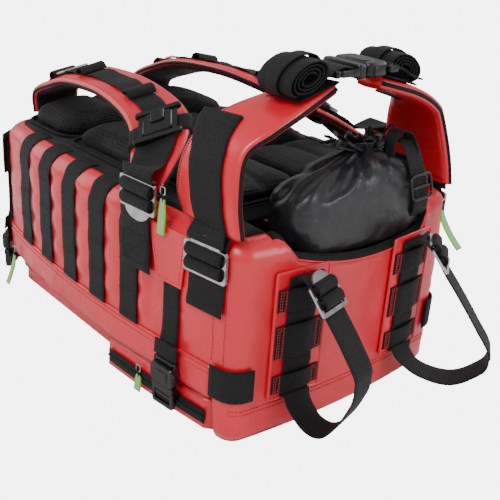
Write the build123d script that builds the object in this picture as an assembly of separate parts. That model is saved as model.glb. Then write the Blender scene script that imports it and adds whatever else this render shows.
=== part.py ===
from build123d import *
import math
import os

os.makedirs("parts", exist_ok=True)

# The pack lies on its front, with its back panel up. +X runs from the head end to the base end,
# -Y is the wearer's right ("near") side, z = 0 is the floor under the front pockets. Millimetres.

# Bag
LENGTH = 520.0
WIDTH = 326.0
DEPTH = 232.0
SIDE_BULGE = 22.0
BASE_BULGE = 12.0
HEAD_CORNER = 45.0
BASE_CORNER = 24.0
EDGE_ROUND = 22.0
WALL = 4.0
GAP = 0.4

# Clamshell parting, front panel and front pockets
PARTING = 70.0
PANEL_TOP = 68.0
POCKET_TOP = 40.0
PANEL_INSET = 7.0
SKIRT_X = 236.0
HINGE_X = 252.0
FLAP_LOW = 52.0
FLAP_HIGH = 88.0
FLAP_THICK = 2.5
UPPER_POCKET_X = (-238.0, 36.0)
UPPER_POCKET_Y = 158.0
LOWER_POCKET_X = (44.0, 233.0)
POCKET_WALL = 3.0

# Base pocket for the rain cover sack
MOUTH_X = 182.0
MOUTH_HALF = 118.0
MOUTH_LIP = 193.0
MOUTH_END = 228.0
LINER_WALL = 1.5

# Webbing
WEB = 1.6
WEB_LIFT = 1.3
FLAP_LIFT = GAP + FLAP_THICK + WEB_LIFT
STRIP_WIDTH = 30.0
STRIP_PITCH = 64.0
STRIP_FIRST_X = 96.0
STRIP_COUNT = 5
COMPRESSION_X = 170.0
COMPRESSION_WIDTH = 25.0
GUSSET_X = 163.0
HIP_LOCK_X = 219.0
SHOULDER_LOCK_X = 120.0
ANCHOR_X = 113.0
LOAD_WIDTH = 50.0
BUCKLE_WIDTH = 36.0
BUCKLE_TOP = 72.0
BUCKLE_SPLIT = 42.0
BUCKLE_LOW = 14.0
BUCKLE_LIFT = 3.7
PLUG_SEAT = -0.7
HEAD_PLUG_SEAT = -16.5
LOOP_WIDTH = 38.0
LOOP_Y = 86.0

# Hip belt, shoulder straps and handle
WING_THICK = 13.0
WING_HINGE = (-167.0, 238.0)
STRAP_THICK = 14.0
DAISY_WIDTH = 32.0
HANDLE_TOP = 212.0
HANDLE_DROP = 28.0

UP = Vector(0, 0, 1)
SIDES = {"near": -1, "far": 1}


def save(shape, node):
    """Write one node's solids."""
    export_step(Compound(children=list(shape.solids())), f"parts/{node}.step")


def block(x, y, z):
    """A plain box from its low and high places along each axis."""
    middle = [(low + high) / 2 for low, high in (x, y, z)]
    return Pos(*middle) * Box(x[1] - x[0], y[1] - y[0], z[1] - z[0])


def soft_block(x, y, z, corner, edge):
    """A box with rounded upright corners and rounded top edges, for pads and pouches."""
    base = Pos((x[0] + x[1]) / 2, (y[0] + y[1]) / 2, z[0])
    solid = extrude(base * RectangleRounded(x[1] - x[0], y[1] - y[0], corner), z[1] - z[0])
    return fillet(solid.faces().sort_by(Axis.Z)[-1].edges(), edge)


def arc_radius(half, bulge):
    """The radius of a wall that bows out by the bulge over its half length."""
    return (half ** 2 + bulge ** 2) / (2 * bulge)


SIDE_RADIUS = arc_radius(LENGTH / 2, SIDE_BULGE)
BASE_RADIUS = arc_radius(WIDTH / 2, BASE_BULGE)


def side_plane(x, side):
    """A plane through the side wall: its own x points out of the wall and its own y up."""
    reach = math.sqrt(SIDE_RADIUS ** 2 - x ** 2)
    outward = Vector(x, side * reach, 0).normalized()
    y = side * (WIDTH / 2 + SIDE_BULGE - SIDE_RADIUS + reach)
    return Plane(origin=(x, y, 0), x_dir=outward, z_dir=outward.cross(UP))


def base_plane(y):
    """The same for the base end's wall, at a place across the pack."""
    reach = math.sqrt(BASE_RADIUS ** 2 - y ** 2)
    outward = Vector(reach, y, 0).normalized()
    x = LENGTH / 2 + BASE_BULGE - BASE_RADIUS + reach
    return Plane(origin=(x, y, 0), x_dir=outward, z_dir=outward.cross(UP))


def corner_plane(side):
    """The same for the middle of a head corner, half way round from the end to the side."""
    centre_x = HEAD_CORNER - LENGTH / 2
    reach = math.sqrt((SIDE_RADIUS - HEAD_CORNER) ** 2 - centre_x ** 2)
    centre_y = WIDTH / 2 + SIDE_BULGE - SIDE_RADIUS + reach
    to_side = Vector(centre_x, side * reach, 0).normalized()
    outward = (to_side + Vector(-1, 0, 0)).normalized()
    origin = Vector(centre_x, side * centre_y, 0) + outward * HEAD_CORNER
    return Plane(origin=origin, x_dir=outward, z_dir=outward.cross(UP))


def plan(grow=0.0):
    """The bag's outline from above: bowed sides and base, tight base corners, rounder head corners."""
    x = LENGTH / 2 + grow
    y = WIDTH / 2 + grow
    outline = [
        ThreePointArc((x, -y), (x + BASE_BULGE, 0), (x, y)),
        ThreePointArc((x, y), (0, y + SIDE_BULGE), (-x, y)),
        Line((-x, y), (-x, -y)),
        ThreePointArc((-x, -y), (0, -y - SIDE_BULGE), (x, -y)),
    ]
    face = make_face(outline)
    face = fillet([v for v in face.vertices() if v.X < 0], HEAD_CORNER + grow)
    return fillet([v for v in face.vertices() if v.X > SKIRT_X], BASE_CORNER + grow)


def across(x):
    """The upright plane across the pack at x: its own x is the pack's y, its own y is up."""
    return Plane(origin=(x, 0, 0), x_dir=(0, 1, 0), z_dir=(1, 0, 0))


def band(plane, points, radius, thick, width):
    """Flat webbing along a path drawn in the plane, as wide as given across it."""
    path = FilletPolyline(*points, radius=radius) if len(points) > 2 else Line(*points)
    return extrude(plane * trace(path, thick), amount=width / 2, both=True)


def slab(wall, sketch, low, high):
    """A flat piece that lies along a wall, between two distances out of it.

    The sketch's own x runs along the wall towards the base end, or towards the far side on the
    base end, and its own y is up.
    """
    along = UP.cross(wall.x_dir)
    if along.X < -0.5 or (abs(along.X) <= 0.5 and along.Y < 0):
        sketch = mirror(sketch, Plane.YZ)
    face = Plane(origin=wall.origin + wall.x_dir * low, x_dir=along, z_dir=wall.x_dir) * sketch
    return extrude(face, high - low, dir=wall.x_dir)


def stations(edges):
    """Planes across a strap, from the two edge points at each of its places, in order.

    Each plane's own x points across the strap and its own y out of its outer face. The second
    value is the strap's width there.
    """
    middles = [(Vector(*a) + Vector(*b)) * 0.5 for a, b in edges]
    places = []
    for i, (a, b) in enumerate(edges):
        ahead = middles[min(i + 1, len(edges) - 1)] - middles[max(i - 1, 0)]
        over = Vector(*b) - Vector(*a)
        cross = over.normalized()
        tangent = (ahead - cross * ahead.dot(cross)).normalized()
        places.append((Plane(origin=middles[i], x_dir=cross, z_dir=tangent), over.length))
    return places


def at(edges, place):
    """The two edge points at a place between the given ones."""
    i = min(int(place), len(edges) - 2)
    t = place - i
    return tuple(tuple(p + (q - p) * t for p, q in zip(a, b)) for a, b in zip(edges[i], edges[i + 1]))


def stretch(edges, start, end):
    """The edge points from one place to another, with the given ones between them."""
    inner = [edges[i] for i in range(len(edges)) if start < i < end]
    return [at(edges, start)] + inner + [at(edges, end)]


def ribbon(places, thick, lift=0.0, width=None, extra=0.0):
    """A strap through its places, as wide as they say or as given, and lifted off their planes."""
    cuts = [plane * (Pos(0, lift) * Rectangle((width or wide) + extra, thick)) for plane, wide in places]
    return loft(cuts, ruled=True)


def lane(edges, fractions, width):
    """The edge points of a narrower strap that runs on a wider one, at fractions across it."""
    narrow = []
    for (a, b), part in zip(edges, fractions):
        a, b = Vector(*a), Vector(*b)
        middle = a + (b - a) * part
        half = (b - a).normalized() * (width / 2)
        narrow.append((tuple(middle - half), tuple(middle + half)))
    return narrow


def both(shape, node):
    """Write a near piece and its mirrored far one, each in its own node."""
    save(shape, f"{node}_near")
    save(mirror(shape, Plane.XZ), f"{node}_far")


def pair(shapes, node):
    """Write near pieces and their mirrored far ones together, in one node."""
    solids = [solid for shape in shapes for solid in shape.solids()]
    save(Compound(children=solids + [mirror(solid, Plane.XZ) for solid in solids]), node)


# --- The bag ------------------------------------------------------------------------------------


def mouth(shrink=0.0):
    """The opening of the base pocket, through the base end and the back panel."""
    half = MOUTH_HALF - shrink
    ends = MOUTH_END + shrink
    profile = [
        ThreePointArc((-half, ends), (0, MOUTH_LIP + shrink), (half, ends)),
        Line((half, ends), (half, 2 * DEPTH)),
        Line((half, 2 * DEPTH), (-half, 2 * DEPTH)),
        Line((-half, 2 * DEPTH), (-half, ends)),
    ]
    return extrude(across(MOUTH_X) * make_face(profile), LENGTH, dir=(1, 0, 0))


def wall_ring(grow, thick, low, high):
    """A strip of cloth just outside or inside the bag's wall, all the way round."""
    strip = plan(grow + thick) - plan(grow)
    return extrude(Pos(0, 0, low) * strip, high - low)


everywhere = (-LENGTH, LENGTH)
outer = extrude(plan(), DEPTH)
outer = fillet(outer.faces().sort_by(Axis.Z)[-1].edges(), EDGE_ROUND)
inner = extrude(plan(-WALL), DEPTH - WALL)
inner = fillet(inner.faces().sort_by(Axis.Z)[-1].edges(), EDGE_ROUND - WALL)
shell = outer - inner - block((-LENGTH, SKIRT_X), everywhere, (-1, PARTING)) - mouth()
save(shell, "main_shell")

sheet = Pos(-40, 0, DEPTH - WALL - 4) * RectangleRounded(360, 250, 40)
save(extrude(sheet, 3), "frame_sheet")

liner_box = [(150, 240), (-124, 124), (184, DEPTH - WALL - GAP)]
liner = block(*liner_box) - block(*[(low + LINER_WALL, high - LINER_WALL) for low, high in liner_box])
save(liner - mouth(), "base_pocket_liner")

flap = wall_ring(GAP, FLAP_THICK, FLAP_LOW, FLAP_HIGH)
flap_end = LENGTH / 2 - HEAD_CORNER
side_flap = (flap & block((-flap_end, SKIRT_X), (-WIDTH, 0), everywhere)).solid()
head_flap = (flap & block((-LENGTH, -flap_end - GAP), everywhere, everywhere)).solid()
save(Compound(children=[side_flap, mirror(side_flap, Plane.XZ), head_flap]), "rain_flaps")
tab = wall_ring(GAP, FLAP_THICK + 1, FLAP_LOW, FLAP_HIGH + 4)
pair([tab & block((SKIRT_X + GAP, LENGTH), (-WIDTH, -140), everywhere)], "zip_end_tabs")

zip_strip = wall_ring(-3.4, 1.6, PANEL_TOP - 12, PARTING - GAP)
save(zip_strip & block((-LENGTH, SKIRT_X - GAP), everywhere, everywhere), "main_zipper")

# --- Back panel pads ----------------------------------------------------------------------------

PAD_BASE = DEPTH + GAP
save(soft_block((-242, -122), (-138, 138), (PAD_BASE, 258), 30, 12), "back_pad_upper")
save(soft_block((-118, 52), (-140, 140), (PAD_BASE, 252), 20, 10), "back_pad_middle")
pair([soft_block((56, MOUTH_X - 4), (-118, -4), (PAD_BASE, 256), 18, 12)], "lumbar_pads")

# --- Front panel: tray and two pockets ----------------------------------------------------------

tray = extrude(Pos(0, 0, POCKET_TOP + GAP) * plan(-PANEL_INSET), PANEL_TOP - POCKET_TOP - GAP)
tray -= extrude(Pos(0, 0, POCKET_TOP + WALL) * plan(-PANEL_INSET - WALL), PANEL_TOP)
tray -= block((HINGE_X + GAP, LENGTH), everywhere, everywhere)
tray += block((HINGE_X - WALL, HINGE_X), (-140, 140), (POCKET_TOP + 1, PANEL_TOP))
save(tray, "front_panel")

upper_y = (-UPPER_POCKET_Y, UPPER_POCKET_Y)
upper = block(UPPER_POCKET_X, upper_y, (0, POCKET_TOP))
upper = fillet(upper.edges().filter_by(Axis.Z), 30)
upper = fillet(upper.faces().sort_by(Axis.Z)[0].edges(), 10)
hollow = block(*[(low + POCKET_WALL, high - POCKET_WALL) for low, high in
                 (UPPER_POCKET_X, upper_y, (0, POCKET_TOP + 2 * POCKET_WALL))])
save(upper - fillet(hollow.edges().filter_by(Axis.Z), 27), "front_pocket_upper")

lower = extrude(plan(-1), POCKET_TOP) & block(LOWER_POCKET_X, everywhere, everywhere)
lower = fillet(lower.faces().sort_by(Axis.Z)[0].edges(), 8)
hollow = extrude(Pos(0, 0, POCKET_WALL) * plan(-1 - POCKET_WALL), POCKET_TOP)
hollow &= block((LOWER_POCKET_X[0] + POCKET_WALL, LOWER_POCKET_X[1] - POCKET_WALL), everywhere, everywhere)
save(lower - hollow, "front_pocket_lower")

# --- Webbing sewn to the sides ------------------------------------------------------------------

strips = []
for i in range(STRIP_COUNT):
    wall = side_plane(STRIP_FIRST_X - i * STRIP_PITCH, -1)
    path = [(-26, DEPTH + WEB_LIFT), (WEB_LIFT, DEPTH + WEB_LIFT), (WEB_LIFT, FLAP_HIGH + 1)]
    strips.append(band(wall, path, EDGE_ROUND + WEB_LIFT, WEB, STRIP_WIDTH))
pair(strips, "molle_strips")

wall = side_plane(GUSSET_X, -1)
gusset = Polygon((-30, 222), (-16, 162), (22, 162), (29, 222), align=None)
pair([slab(wall, gusset, GAP, 2.4)], "side_gussets")

wall = side_plane(ANCHOR_X, -1)
pair([band(wall, [(4.2, 222), (4.2, 160)], 0, 3.2, LOAD_WIDTH)], "shoulder_anchors")

wall = side_plane(HIP_LOCK_X, -1)
pair([band(wall, [(-4, 233), (WEB_LIFT, 224), (WEB_LIFT, 160)], 10, WEB, LOAD_WIDTH)], "hip_strap_tails")


def closure(wall, top, seat, fold_low=None):
    """A strap that closes the clamshell: strap, keeper, socket and plug of a side-release buckle.

    The plug's strap is sewn to the front pocket at the seat, a distance out of the wall. A sewn
    fold covers the strap's top end down to the given height.
    """
    path = [(WEB_LIFT, top), (WEB_LIFT, 104), (FLAP_LIFT, 92), (FLAP_LIFT, BUCKLE_TOP + 1)]
    keeper_x = FLAP_LIFT + WEB + GAP
    straps = [
        band(wall, path, 10, WEB, COMPRESSION_WIDTH),
        band(wall, [(keeper_x, 90), (keeper_x, BUCKLE_TOP + 2)], 0, WEB, COMPRESSION_WIDTH + 10),
    ]
    if fold_low:
        fold_x = WEB_LIFT + 2.4
        straps.append(band(wall, [(fold_x, DEPTH - 20), (fold_x, fold_low)], 0, 2.4, 38))
    socket_face = RectangleRounded(BUCKLE_WIDTH, BUCKLE_TOP - BUCKLE_SPLIT, 4)
    socket = slab(wall, Pos(0, (BUCKLE_TOP + BUCKLE_SPLIT) / 2) * socket_face, BUCKLE_LIFT, BUCKLE_LIFT + 12)
    plug_top = BUCKLE_SPLIT - GAP
    plug_face = RectangleRounded(BUCKLE_WIDTH, plug_top - BUCKLE_LOW, 4)
    plug = slab(wall, Pos(0, (plug_top + BUCKLE_LOW) / 2) * plug_face, BUCKLE_LIFT + 1.5, BUCKLE_LIFT + 10.5)
    plug += slab(wall, Pos(0, plug_top - 8) * Rectangle(COMPRESSION_WIDTH, 12), seat, BUCKLE_LIFT + 2)
    return straps, socket, plug


side_straps, side_socket, side_plug = closure(side_plane(COMPRESSION_X, -1), 160, PLUG_SEAT)
head_straps, head_socket, head_plug = closure(corner_plane(-1), 206, HEAD_PLUG_SEAT, 160)
pair(side_straps + head_straps, "closing_straps")
pair([side_socket, head_socket], "closing_sockets")
pair([side_plug, head_plug], "closing_plugs")


def ladder_lock(width, tab_up):
    """A two-slot metal ladder lock's outline, with a half-round thumb tab at one end."""
    body = RectangleRounded(width + 8, 34, 3)
    turn = 1 if tab_up else -1
    body += Pos(0, turn * 15) * Ellipse(width * 0.4, 13)
    for y in (7.5, -7.5):
        body -= Pos(0, y) * Rectangle(width + 1, 10)
    return body


HIP_LOCK_Z = 205.0
SHOULDER_LOCK_Z = 246.0
both(slab(side_plane(HIP_LOCK_X, -1), Pos(0, HIP_LOCK_Z) * ladder_lock(LOAD_WIDTH, True), 3.2, 6.2), "hip_lock")
both(slab(side_plane(SHOULDER_LOCK_X, -1), Pos(0, SHOULDER_LOCK_Z) * ladder_lock(LOAD_WIDTH, False), 6.4, 9.4),
     "shoulder_lock")

# --- Base end: strap patches and hanging loops --------------------------------------------------

wall = base_plane(-LOOP_Y)
pair([slab(wall, Pos(0, 122) * RectangleRounded(70, 150, 2), GAP, 2.0)], "strap_patches")
bars = [slab(wall, Pos(0, (low + high) / 2) * Rectangle(64, high - low), 4.6, 6.2)
        for low, high in ((150, 178), (94, 136), (54, 76))]
pair(bars + [band(wall, [(3.2, 192), (3.2, 50)], 0, WEB, LOOP_WIDTH)], "strap_patch_webbing")


LOOPS = {
    "near": (15.0, [(10, 192), (19, 190.5), (45, 157.5), (79, 112), (84, 92), (80, 68), (57, 25), (34, 20), (15, 38),
                    (8.5, 52)]),
    "far": (35.0, [(10, 194), (21, 192.5), (49, 156), (104, 78), (110, 60), (104, 42), (73, 21), (38, 23), (15, 40),
                   (8.5, 54)]),
}


def hanging_loop(side, swing, outline):
    """A webbing loop that hangs from its patch and turns towards +Y as it leaves the wall.

    Its places are distances out of the wall and heights; the swing is the turn of its plane.
    """
    root = base_plane(side * LOOP_Y)
    edges = []
    for out, z in outline:
        turn = math.radians(swing) * min(1.0, max(0.0, out - 9) / 12)
        heading = Vector(math.cos(turn), math.sin(turn), 0)
        sideways = Vector(-math.sin(turn), math.cos(turn), 0) * (LOOP_WIDTH / 2)
        middle = root.origin + root.x_dir * min(out, 9) + heading * max(out - 9, 0) + UP * z
        edges.append((tuple(middle + sideways), tuple(middle - sideways)))
    return edges


for name, side in SIDES.items():
    edges = hanging_loop(side, *LOOPS[name])
    places = stations(edges)
    save(ribbon(places, WEB), f"base_loop_{name}")
    seat = stations([at(edges, 1.5), at(edges, 1.9)])[0][0]
    face = Plane(origin=seat.origin - seat.y_dir * 4.4, x_dir=seat.x_dir, z_dir=seat.y_dir)
    save(extrude(face * ladder_lock(LOOP_WIDTH, True), 2.6, dir=seat.y_dir),
         f"base_lock_{name}")

# --- Shoulder straps ----------------------------------------------------------------------------

STRAP_EDGES = [
    ((-252, -116, 264), (-252, -46, 272)),
    ((-205, -118, 284), (-207, -52, 296)),
    ((-155, -119, 298), (-155, -58, 311)),
    ((-73, -124, 304), (-65, -62, 317)),
    ((-4, -132, 296), (10, -68, 311)),
    ((34, -142, 282), (60, -80, 301)),
    ((58, -156, 260), (100, -112, 284)),
    ((78, -170, 242), (132, -166, 250)),
]
strap = stations(STRAP_EDGES)
both(ribbon(strap, STRAP_THICK), "shoulder_pad")
lift = STRAP_THICK / 2 + WEB_LIFT
middle = [0.5] * len(STRAP_EDGES)
daisy = lane(STRAP_EDGES, middle, DAISY_WIDTH)
daisy_webbing = ribbon(stations(stretch(daisy, 0.15, 4.6)), WEB, lift)
both(ribbon(stations(stretch(daisy, 5.0, 5.9)), 9, STRAP_THICK / 2 + 7.5, 50), "shoulder_buckle")
sleeve = stations(stretch(STRAP_EDGES, 5.25, 5.6))
band_outer = ribbon(sleeve, STRAP_THICK + 4.4, 0, None, 5.0)
inner_places = stations(stretch(STRAP_EDGES, 5.2, 5.65))
both(band_outer - ribbon(inner_places, STRAP_THICK + 1.2, 0, None, 1.2), "sternum_band")

lock_wall = side_plane(SHOULDER_LOCK_X, -1)
lock_point = lock_wall.origin + lock_wall.x_dir * 8 + UP * (SHOULDER_LOCK_Z + 18.5)
span = lock_wall.z_dir * (LOAD_WIDTH / 2)
webbing = lane(STRAP_EDGES, middle, 44)
tail = stations([at(webbing, 6.0), at(webbing, 6.35)])
end_plane = Plane(origin=lock_point, x_dir=-lock_wall.z_dir, z_dir=-UP)
raised = [(Plane(origin=p.origin + p.y_dir * (lift + 1), x_dir=p.x_dir, z_dir=p.z_dir), w) for p, w in tail]
adjuster = ribbon(raised + [(end_plane, LOAD_WIDTH)], WEB)
both(Compound(children=[daisy_webbing.solid(), adjuster.solid()]), "shoulder_webbing")

ring_seat = stations([at(STRAP_EDGES, 1.9), at(STRAP_EDGES, 2.2)])[0][0]
ring = RectangleRounded(40, 16, 6) - RectangleRounded(34, 10, 4)
ring = extrude(Plane(origin=ring_seat.origin + ring_seat.y_dir * (lift + 3), x_dir=ring_seat.x_dir,
                     z_dir=ring_seat.y_dir) * ring, 3)
both(ring, "shoulder_ring")

# --- Hip belt -----------------------------------------------------------------------------------

WING_EDGES = [
    ((258, -160, 238), (168, -160, 238)),
    ((248, -159, 272), (156, -160, 262)),
    ((240, -148, 314), (158, -154, 300)),
    ((250, -122, 334), (172, -136, 332)),
    ((252, -84, 352), (188, -88, 352)),
    ((240, -34, 366), (206, -34, 364)),
]
both(ribbon(stations(WING_EDGES), WING_THICK), "hip_wing")
lift = WING_THICK / 2 + WEB_LIFT
hip = lane(WING_EDGES, [0.45, 0.48, 0.55, 0.6, 0.55, 0.5], LOAD_WIDTH)
both(ribbon(stations(stretch(hip, 0.1, 4.7)), WEB, lift), "hip_webbing")

roll = RectangleRounded(58, 32, 13)
roll = extrude(across(222) * (Pos(-84, 386) * Rot(0, 0, 20) * roll), 25, both=True, dir=(1, 0, 0))
both(roll, "hip_strap_roll")

socket = block((195, 249), (1, 46), (375, 391))
socket = fillet(socket.edges().filter_by(Axis.Y), 5)
save(socket - block((203, 241), (0, 26), (377.5, 388.5)), "hip_buckle_socket")
save(fillet(block((195, 249), (-46, -1), (376, 390)).edges().filter_by(Axis.Y), 5), "hip_buckle_plug")

# --- Handle, sack and small moving pieces -------------------------------------------------------

grip = FilletPolyline((-60, HANDLE_TOP), (-42, HANDLE_TOP - HANDLE_DROP), (42, HANDLE_TOP - HANDLE_DROP),
                      (60, HANDLE_TOP), radius=14)
save(extrude(across(-LENGTH / 2 - 5) * trace(grip, 24), 4, dir=(-1, 0, 0)).move(Location((4, 0, 0))),
     "grab_handle")

sack = soft_block((188, 258), (-76, 108), (170, 282), 26, 20) & mouth(3)
save(sack, "rain_cover_sack")
lock_body = Pos(226, 58, 282 + GAP) * Cylinder(8, 16, align=(Align.CENTER, Align.CENTER, Align.MIN))
lock_body -= Pos(226, 58, 286) * Cylinder(5.3, 20, align=(Align.CENTER, Align.CENTER, Align.MIN))
save(lock_body, "cord_lock_body")
save(Pos(226, 58, 293) * Cylinder(5, 11, align=(Align.CENTER, Align.CENTER, Align.MIN)), "cord_lock_button")


def pull(wall, top, length, out):
    """A zip pull: a folded tag that hangs from its slider, flat beside the wall."""
    return slab(wall, Pos(0, top - length / 2) * RectangleRounded(12, length, 3), out, out + 2.4)


save(pull(base_plane(131), 226, 52, 7), "pull_base")
save(pull(side_plane(118, -1), 34, 30, 2), "pull_front")
save(pull(side_plane(-205, -1), 58, 46, 4.5), "pull_main")
both(pull(side_plane(157, -1), 262, 48, 4.5), "pull_wing")
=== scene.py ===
"""A trauma backpack lying on its front: every visible piece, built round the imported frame."""
import logging
import math
from dataclasses import dataclass, field
from enum import Enum
from typing import Callable, Iterable, Sequence

import bmesh
import bpy
from mathutils import Matrix, Vector, noise

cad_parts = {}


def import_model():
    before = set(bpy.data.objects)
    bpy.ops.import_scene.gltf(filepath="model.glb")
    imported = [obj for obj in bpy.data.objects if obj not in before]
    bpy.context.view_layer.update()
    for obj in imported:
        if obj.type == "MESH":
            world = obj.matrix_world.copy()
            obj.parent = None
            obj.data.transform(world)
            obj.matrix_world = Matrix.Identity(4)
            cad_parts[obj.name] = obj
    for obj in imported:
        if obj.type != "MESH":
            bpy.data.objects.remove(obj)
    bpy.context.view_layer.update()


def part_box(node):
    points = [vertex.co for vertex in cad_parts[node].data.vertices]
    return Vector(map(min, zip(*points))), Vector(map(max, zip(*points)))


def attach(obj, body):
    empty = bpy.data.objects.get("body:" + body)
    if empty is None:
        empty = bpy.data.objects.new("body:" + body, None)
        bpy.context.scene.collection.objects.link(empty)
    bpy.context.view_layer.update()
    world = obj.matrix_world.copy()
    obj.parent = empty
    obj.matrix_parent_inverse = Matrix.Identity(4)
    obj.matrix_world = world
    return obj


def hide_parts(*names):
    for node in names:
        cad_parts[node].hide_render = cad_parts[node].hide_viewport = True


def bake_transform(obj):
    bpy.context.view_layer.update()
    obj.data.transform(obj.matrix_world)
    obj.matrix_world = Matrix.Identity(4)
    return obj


LOG = logging.getLogger("backpack")
MM = 0.001
UP = Vector((0.0, 0.0, 1.0))
Point = tuple[float, float, float]
Edges = tuple[Point, Point]
Pair = tuple[float, float]


class Side(Enum):
    """The two sides of the pack."""

    NEAR = -1
    FAR = 1

    @property
    def tag(self) -> str:
        """The side's name in node and body names."""
        return self.name.lower()


# --- Small tools --------------------------------------------------------------------------------


def box_mm(node: str) -> tuple[Vector, Vector]:
    """A node's lowest and highest corners in millimetres."""
    low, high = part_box(node)
    return Vector(low) / MM, Vector(high) / MM


def ripple(place: Vector, size: float, seed: float = 0.0) -> float:
    """Smooth noise from -1 to 1 at a place, with bumps about as wide as the size, both in millimetres."""
    return noise.noise(place / size + Vector((seed, 3.1 * seed, -seed)))


@dataclass
class Shape:
    """Vertices and faces of one piece, in millimetres, with a place for each corner's texture."""

    verts: list[Vector] = field(default_factory=list)
    faces: list[list[int]] = field(default_factory=list)
    uvs: list[Pair] = field(default_factory=list)

    def add(self, other: "Shape") -> "Shape":
        """Join another shape to this one and return this one."""
        start = len(self.verts)
        self.verts += other.verts
        self.faces += [[i + start for i in loop] for loop in other.faces]
        self.uvs += other.uvs
        return self

    def mirrored(self, side: Side) -> "Shape":
        """This near-side shape for the side asked for, still facing outwards."""
        if side is Side.NEAR:
            return self
        verts = [Vector((v.x, -v.y, v.z)) for v in self.verts]
        return Shape(verts, [loop[::-1] for loop in self.faces], list(self.uvs))

    def build(self, name: str, smooth: bool = True, merge: float = 0.0) -> bpy.types.Object:
        """Make the Blender object.

        Args:
            name: The piece's name.
            smooth: Whether its faces are shaded smooth.
            merge: The distance in millimetres under which vertices are joined.

        Returns:
            The object, with its place in its mesh.
        """
        mesh = bpy.data.meshes.new(name)
        mesh.from_pydata([tuple(v * MM) for v in self.verts], [], self.faces)
        layer = mesh.uv_layers.new(name="UVMap")
        for loop in mesh.loops:
            u, v = self.uvs[loop.vertex_index] if self.uvs else (0.0, 0.0)
            layer.data[loop.index].uv = (u * MM, v * MM)
        if merge:
            bm = bmesh.new()
            bm.from_mesh(mesh)
            bmesh.ops.remove_doubles(bm, verts=bm.verts, dist=merge * MM)
            bmesh.ops.recalc_face_normals(bm, faces=bm.faces)
            bm.to_mesh(mesh)
            bm.free()
        mesh.polygons.foreach_set("use_smooth", [smooth] * len(mesh.polygons))
        obj = bpy.data.objects.new(name, mesh)
        bpy.context.scene.collection.objects.link(obj)
        return obj


def modified(obj: bpy.types.Object, kind: str, **settings: object) -> bpy.types.Object:
    """Add a modifier, apply it and return the object with its new mesh."""
    modifier = obj.modifiers.new(kind.title(), kind)
    for key, value in settings.items():
        setattr(modifier, key, value)
    baked(obj)
    return obj


def baked(obj: bpy.types.Object) -> None:
    """Turn an object's modifiers into plain mesh."""
    graph = bpy.context.evaluated_depsgraph_get()
    graph.update()
    mesh = bpy.data.meshes.new_from_object(obj.evaluated_get(graph))
    obj.modifiers.clear()
    obj.data = mesh


def shade(obj: bpy.types.Object, angle: float = 35.0) -> bpy.types.Object:
    """Keep edges sharper than the angle crisp, and shade the rest smooth."""
    bm = bmesh.new()
    bm.from_mesh(obj.data)
    for edge in bm.edges:
        edge.smooth = not (edge.is_manifold and edge.calc_face_angle() > math.radians(angle))
    for face in bm.faces:
        face.smooth = True
    bm.to_mesh(obj.data)
    bm.free()
    return obj


# --- Finishes -----------------------------------------------------------------------------------


class Nodes:
    """A material's node tree with short ways to add and join its nodes."""

    def __init__(self, name: str) -> None:
        """Start a material of that name with a Principled shader."""
        self.material = bpy.data.materials.new(name)
        self.material.use_nodes = True
        self.tree = self.material.node_tree
        self.shader = self.tree.nodes["Principled BSDF"]

    def add(self, kind: str, inputs: dict[object, object] | None = None, **settings: object) -> bpy.types.Node:
        """Add a node, set it, and set or join its inputs.

        Args:
            kind: The node's type.
            inputs: For an input's name or number, a value or another node's output.
            settings: The node's own settings.

        Returns:
            The new node.
        """
        node = self.tree.nodes.new(kind)
        for key, value in settings.items():
            setattr(node, key, value)
        for key, value in (inputs or {}).items():
            self.put(node, key, value)
        return node

    def put(self, node: bpy.types.Node, key: object, value: object) -> None:
        """Set an input to a value, or join it to an output."""
        if isinstance(value, bpy.types.NodeSocket):
            self.tree.links.new(value, node.inputs[key])
        else:
            node.inputs[key].default_value = value

    def math(self, operation: str, *values: object) -> bpy.types.NodeSocket:
        """The result of a Math node on one to three values or outputs."""
        node = self.add("ShaderNodeMath", dict(enumerate(values)), operation=operation)
        return node.outputs[0]

    def noise(self, vector: bpy.types.NodeSocket, scale: float, detail: float = 3.0,
              distortion: float = 0.0) -> bpy.types.NodeSocket:
        """Noise over a vector."""
        inputs = {"Vector": vector, "Scale": scale, "Detail": detail, "Distortion": distortion}
        return self.add("ShaderNodeTexNoise", inputs).outputs[0]

    def spread(self, value: bpy.types.NodeSocket, low: float, high: float,
               start: float = 0.3, end: float = 0.7) -> bpy.types.NodeSocket:
        """Map a value from start..end to low..high."""
        inputs = {0: value, 1: start, 2: end, 3: low, 4: high}
        return self.add("ShaderNodeMapRange", inputs).outputs[0]

    def mix(self, factor: object, first: object, second: object) -> bpy.types.NodeSocket:
        """Mix two colours."""
        node = self.add("ShaderNodeMix", data_type="RGBA")
        for key, value in ((0, factor), (6, first), (7, second)):
            self.put(node, key, value)
        return node.outputs[2]

    def bump(self, height: bpy.types.NodeSocket, strength: float, distance: float,
             under: bpy.types.NodeSocket | None = None) -> bpy.types.NodeSocket:
        """A bump, on top of another one if given."""
        inputs: dict[object, object] = {"Height": height, "Strength": strength, "Distance": distance}
        if under is not None:
            inputs["Normal"] = under
        return self.add("ShaderNodeBump", inputs).outputs[0]

    def place(self) -> bpy.types.NodeSocket:
        """Object coordinates, in metres."""
        return self.add("ShaderNodeTexCoord").outputs["Object"]

    def strap(self) -> tuple[bpy.types.NodeSocket, bpy.types.NodeSocket, bpy.types.NodeSocket]:
        """The texture map, and its two parts: metres across a strap and metres along it."""
        vector = self.add("ShaderNodeTexCoord").outputs["UV"]
        parts = self.add("ShaderNodeSeparateXYZ", {0: vector})
        return vector, parts.outputs[0], parts.outputs[1]


Colour = tuple[float, float, float, float]


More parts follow.
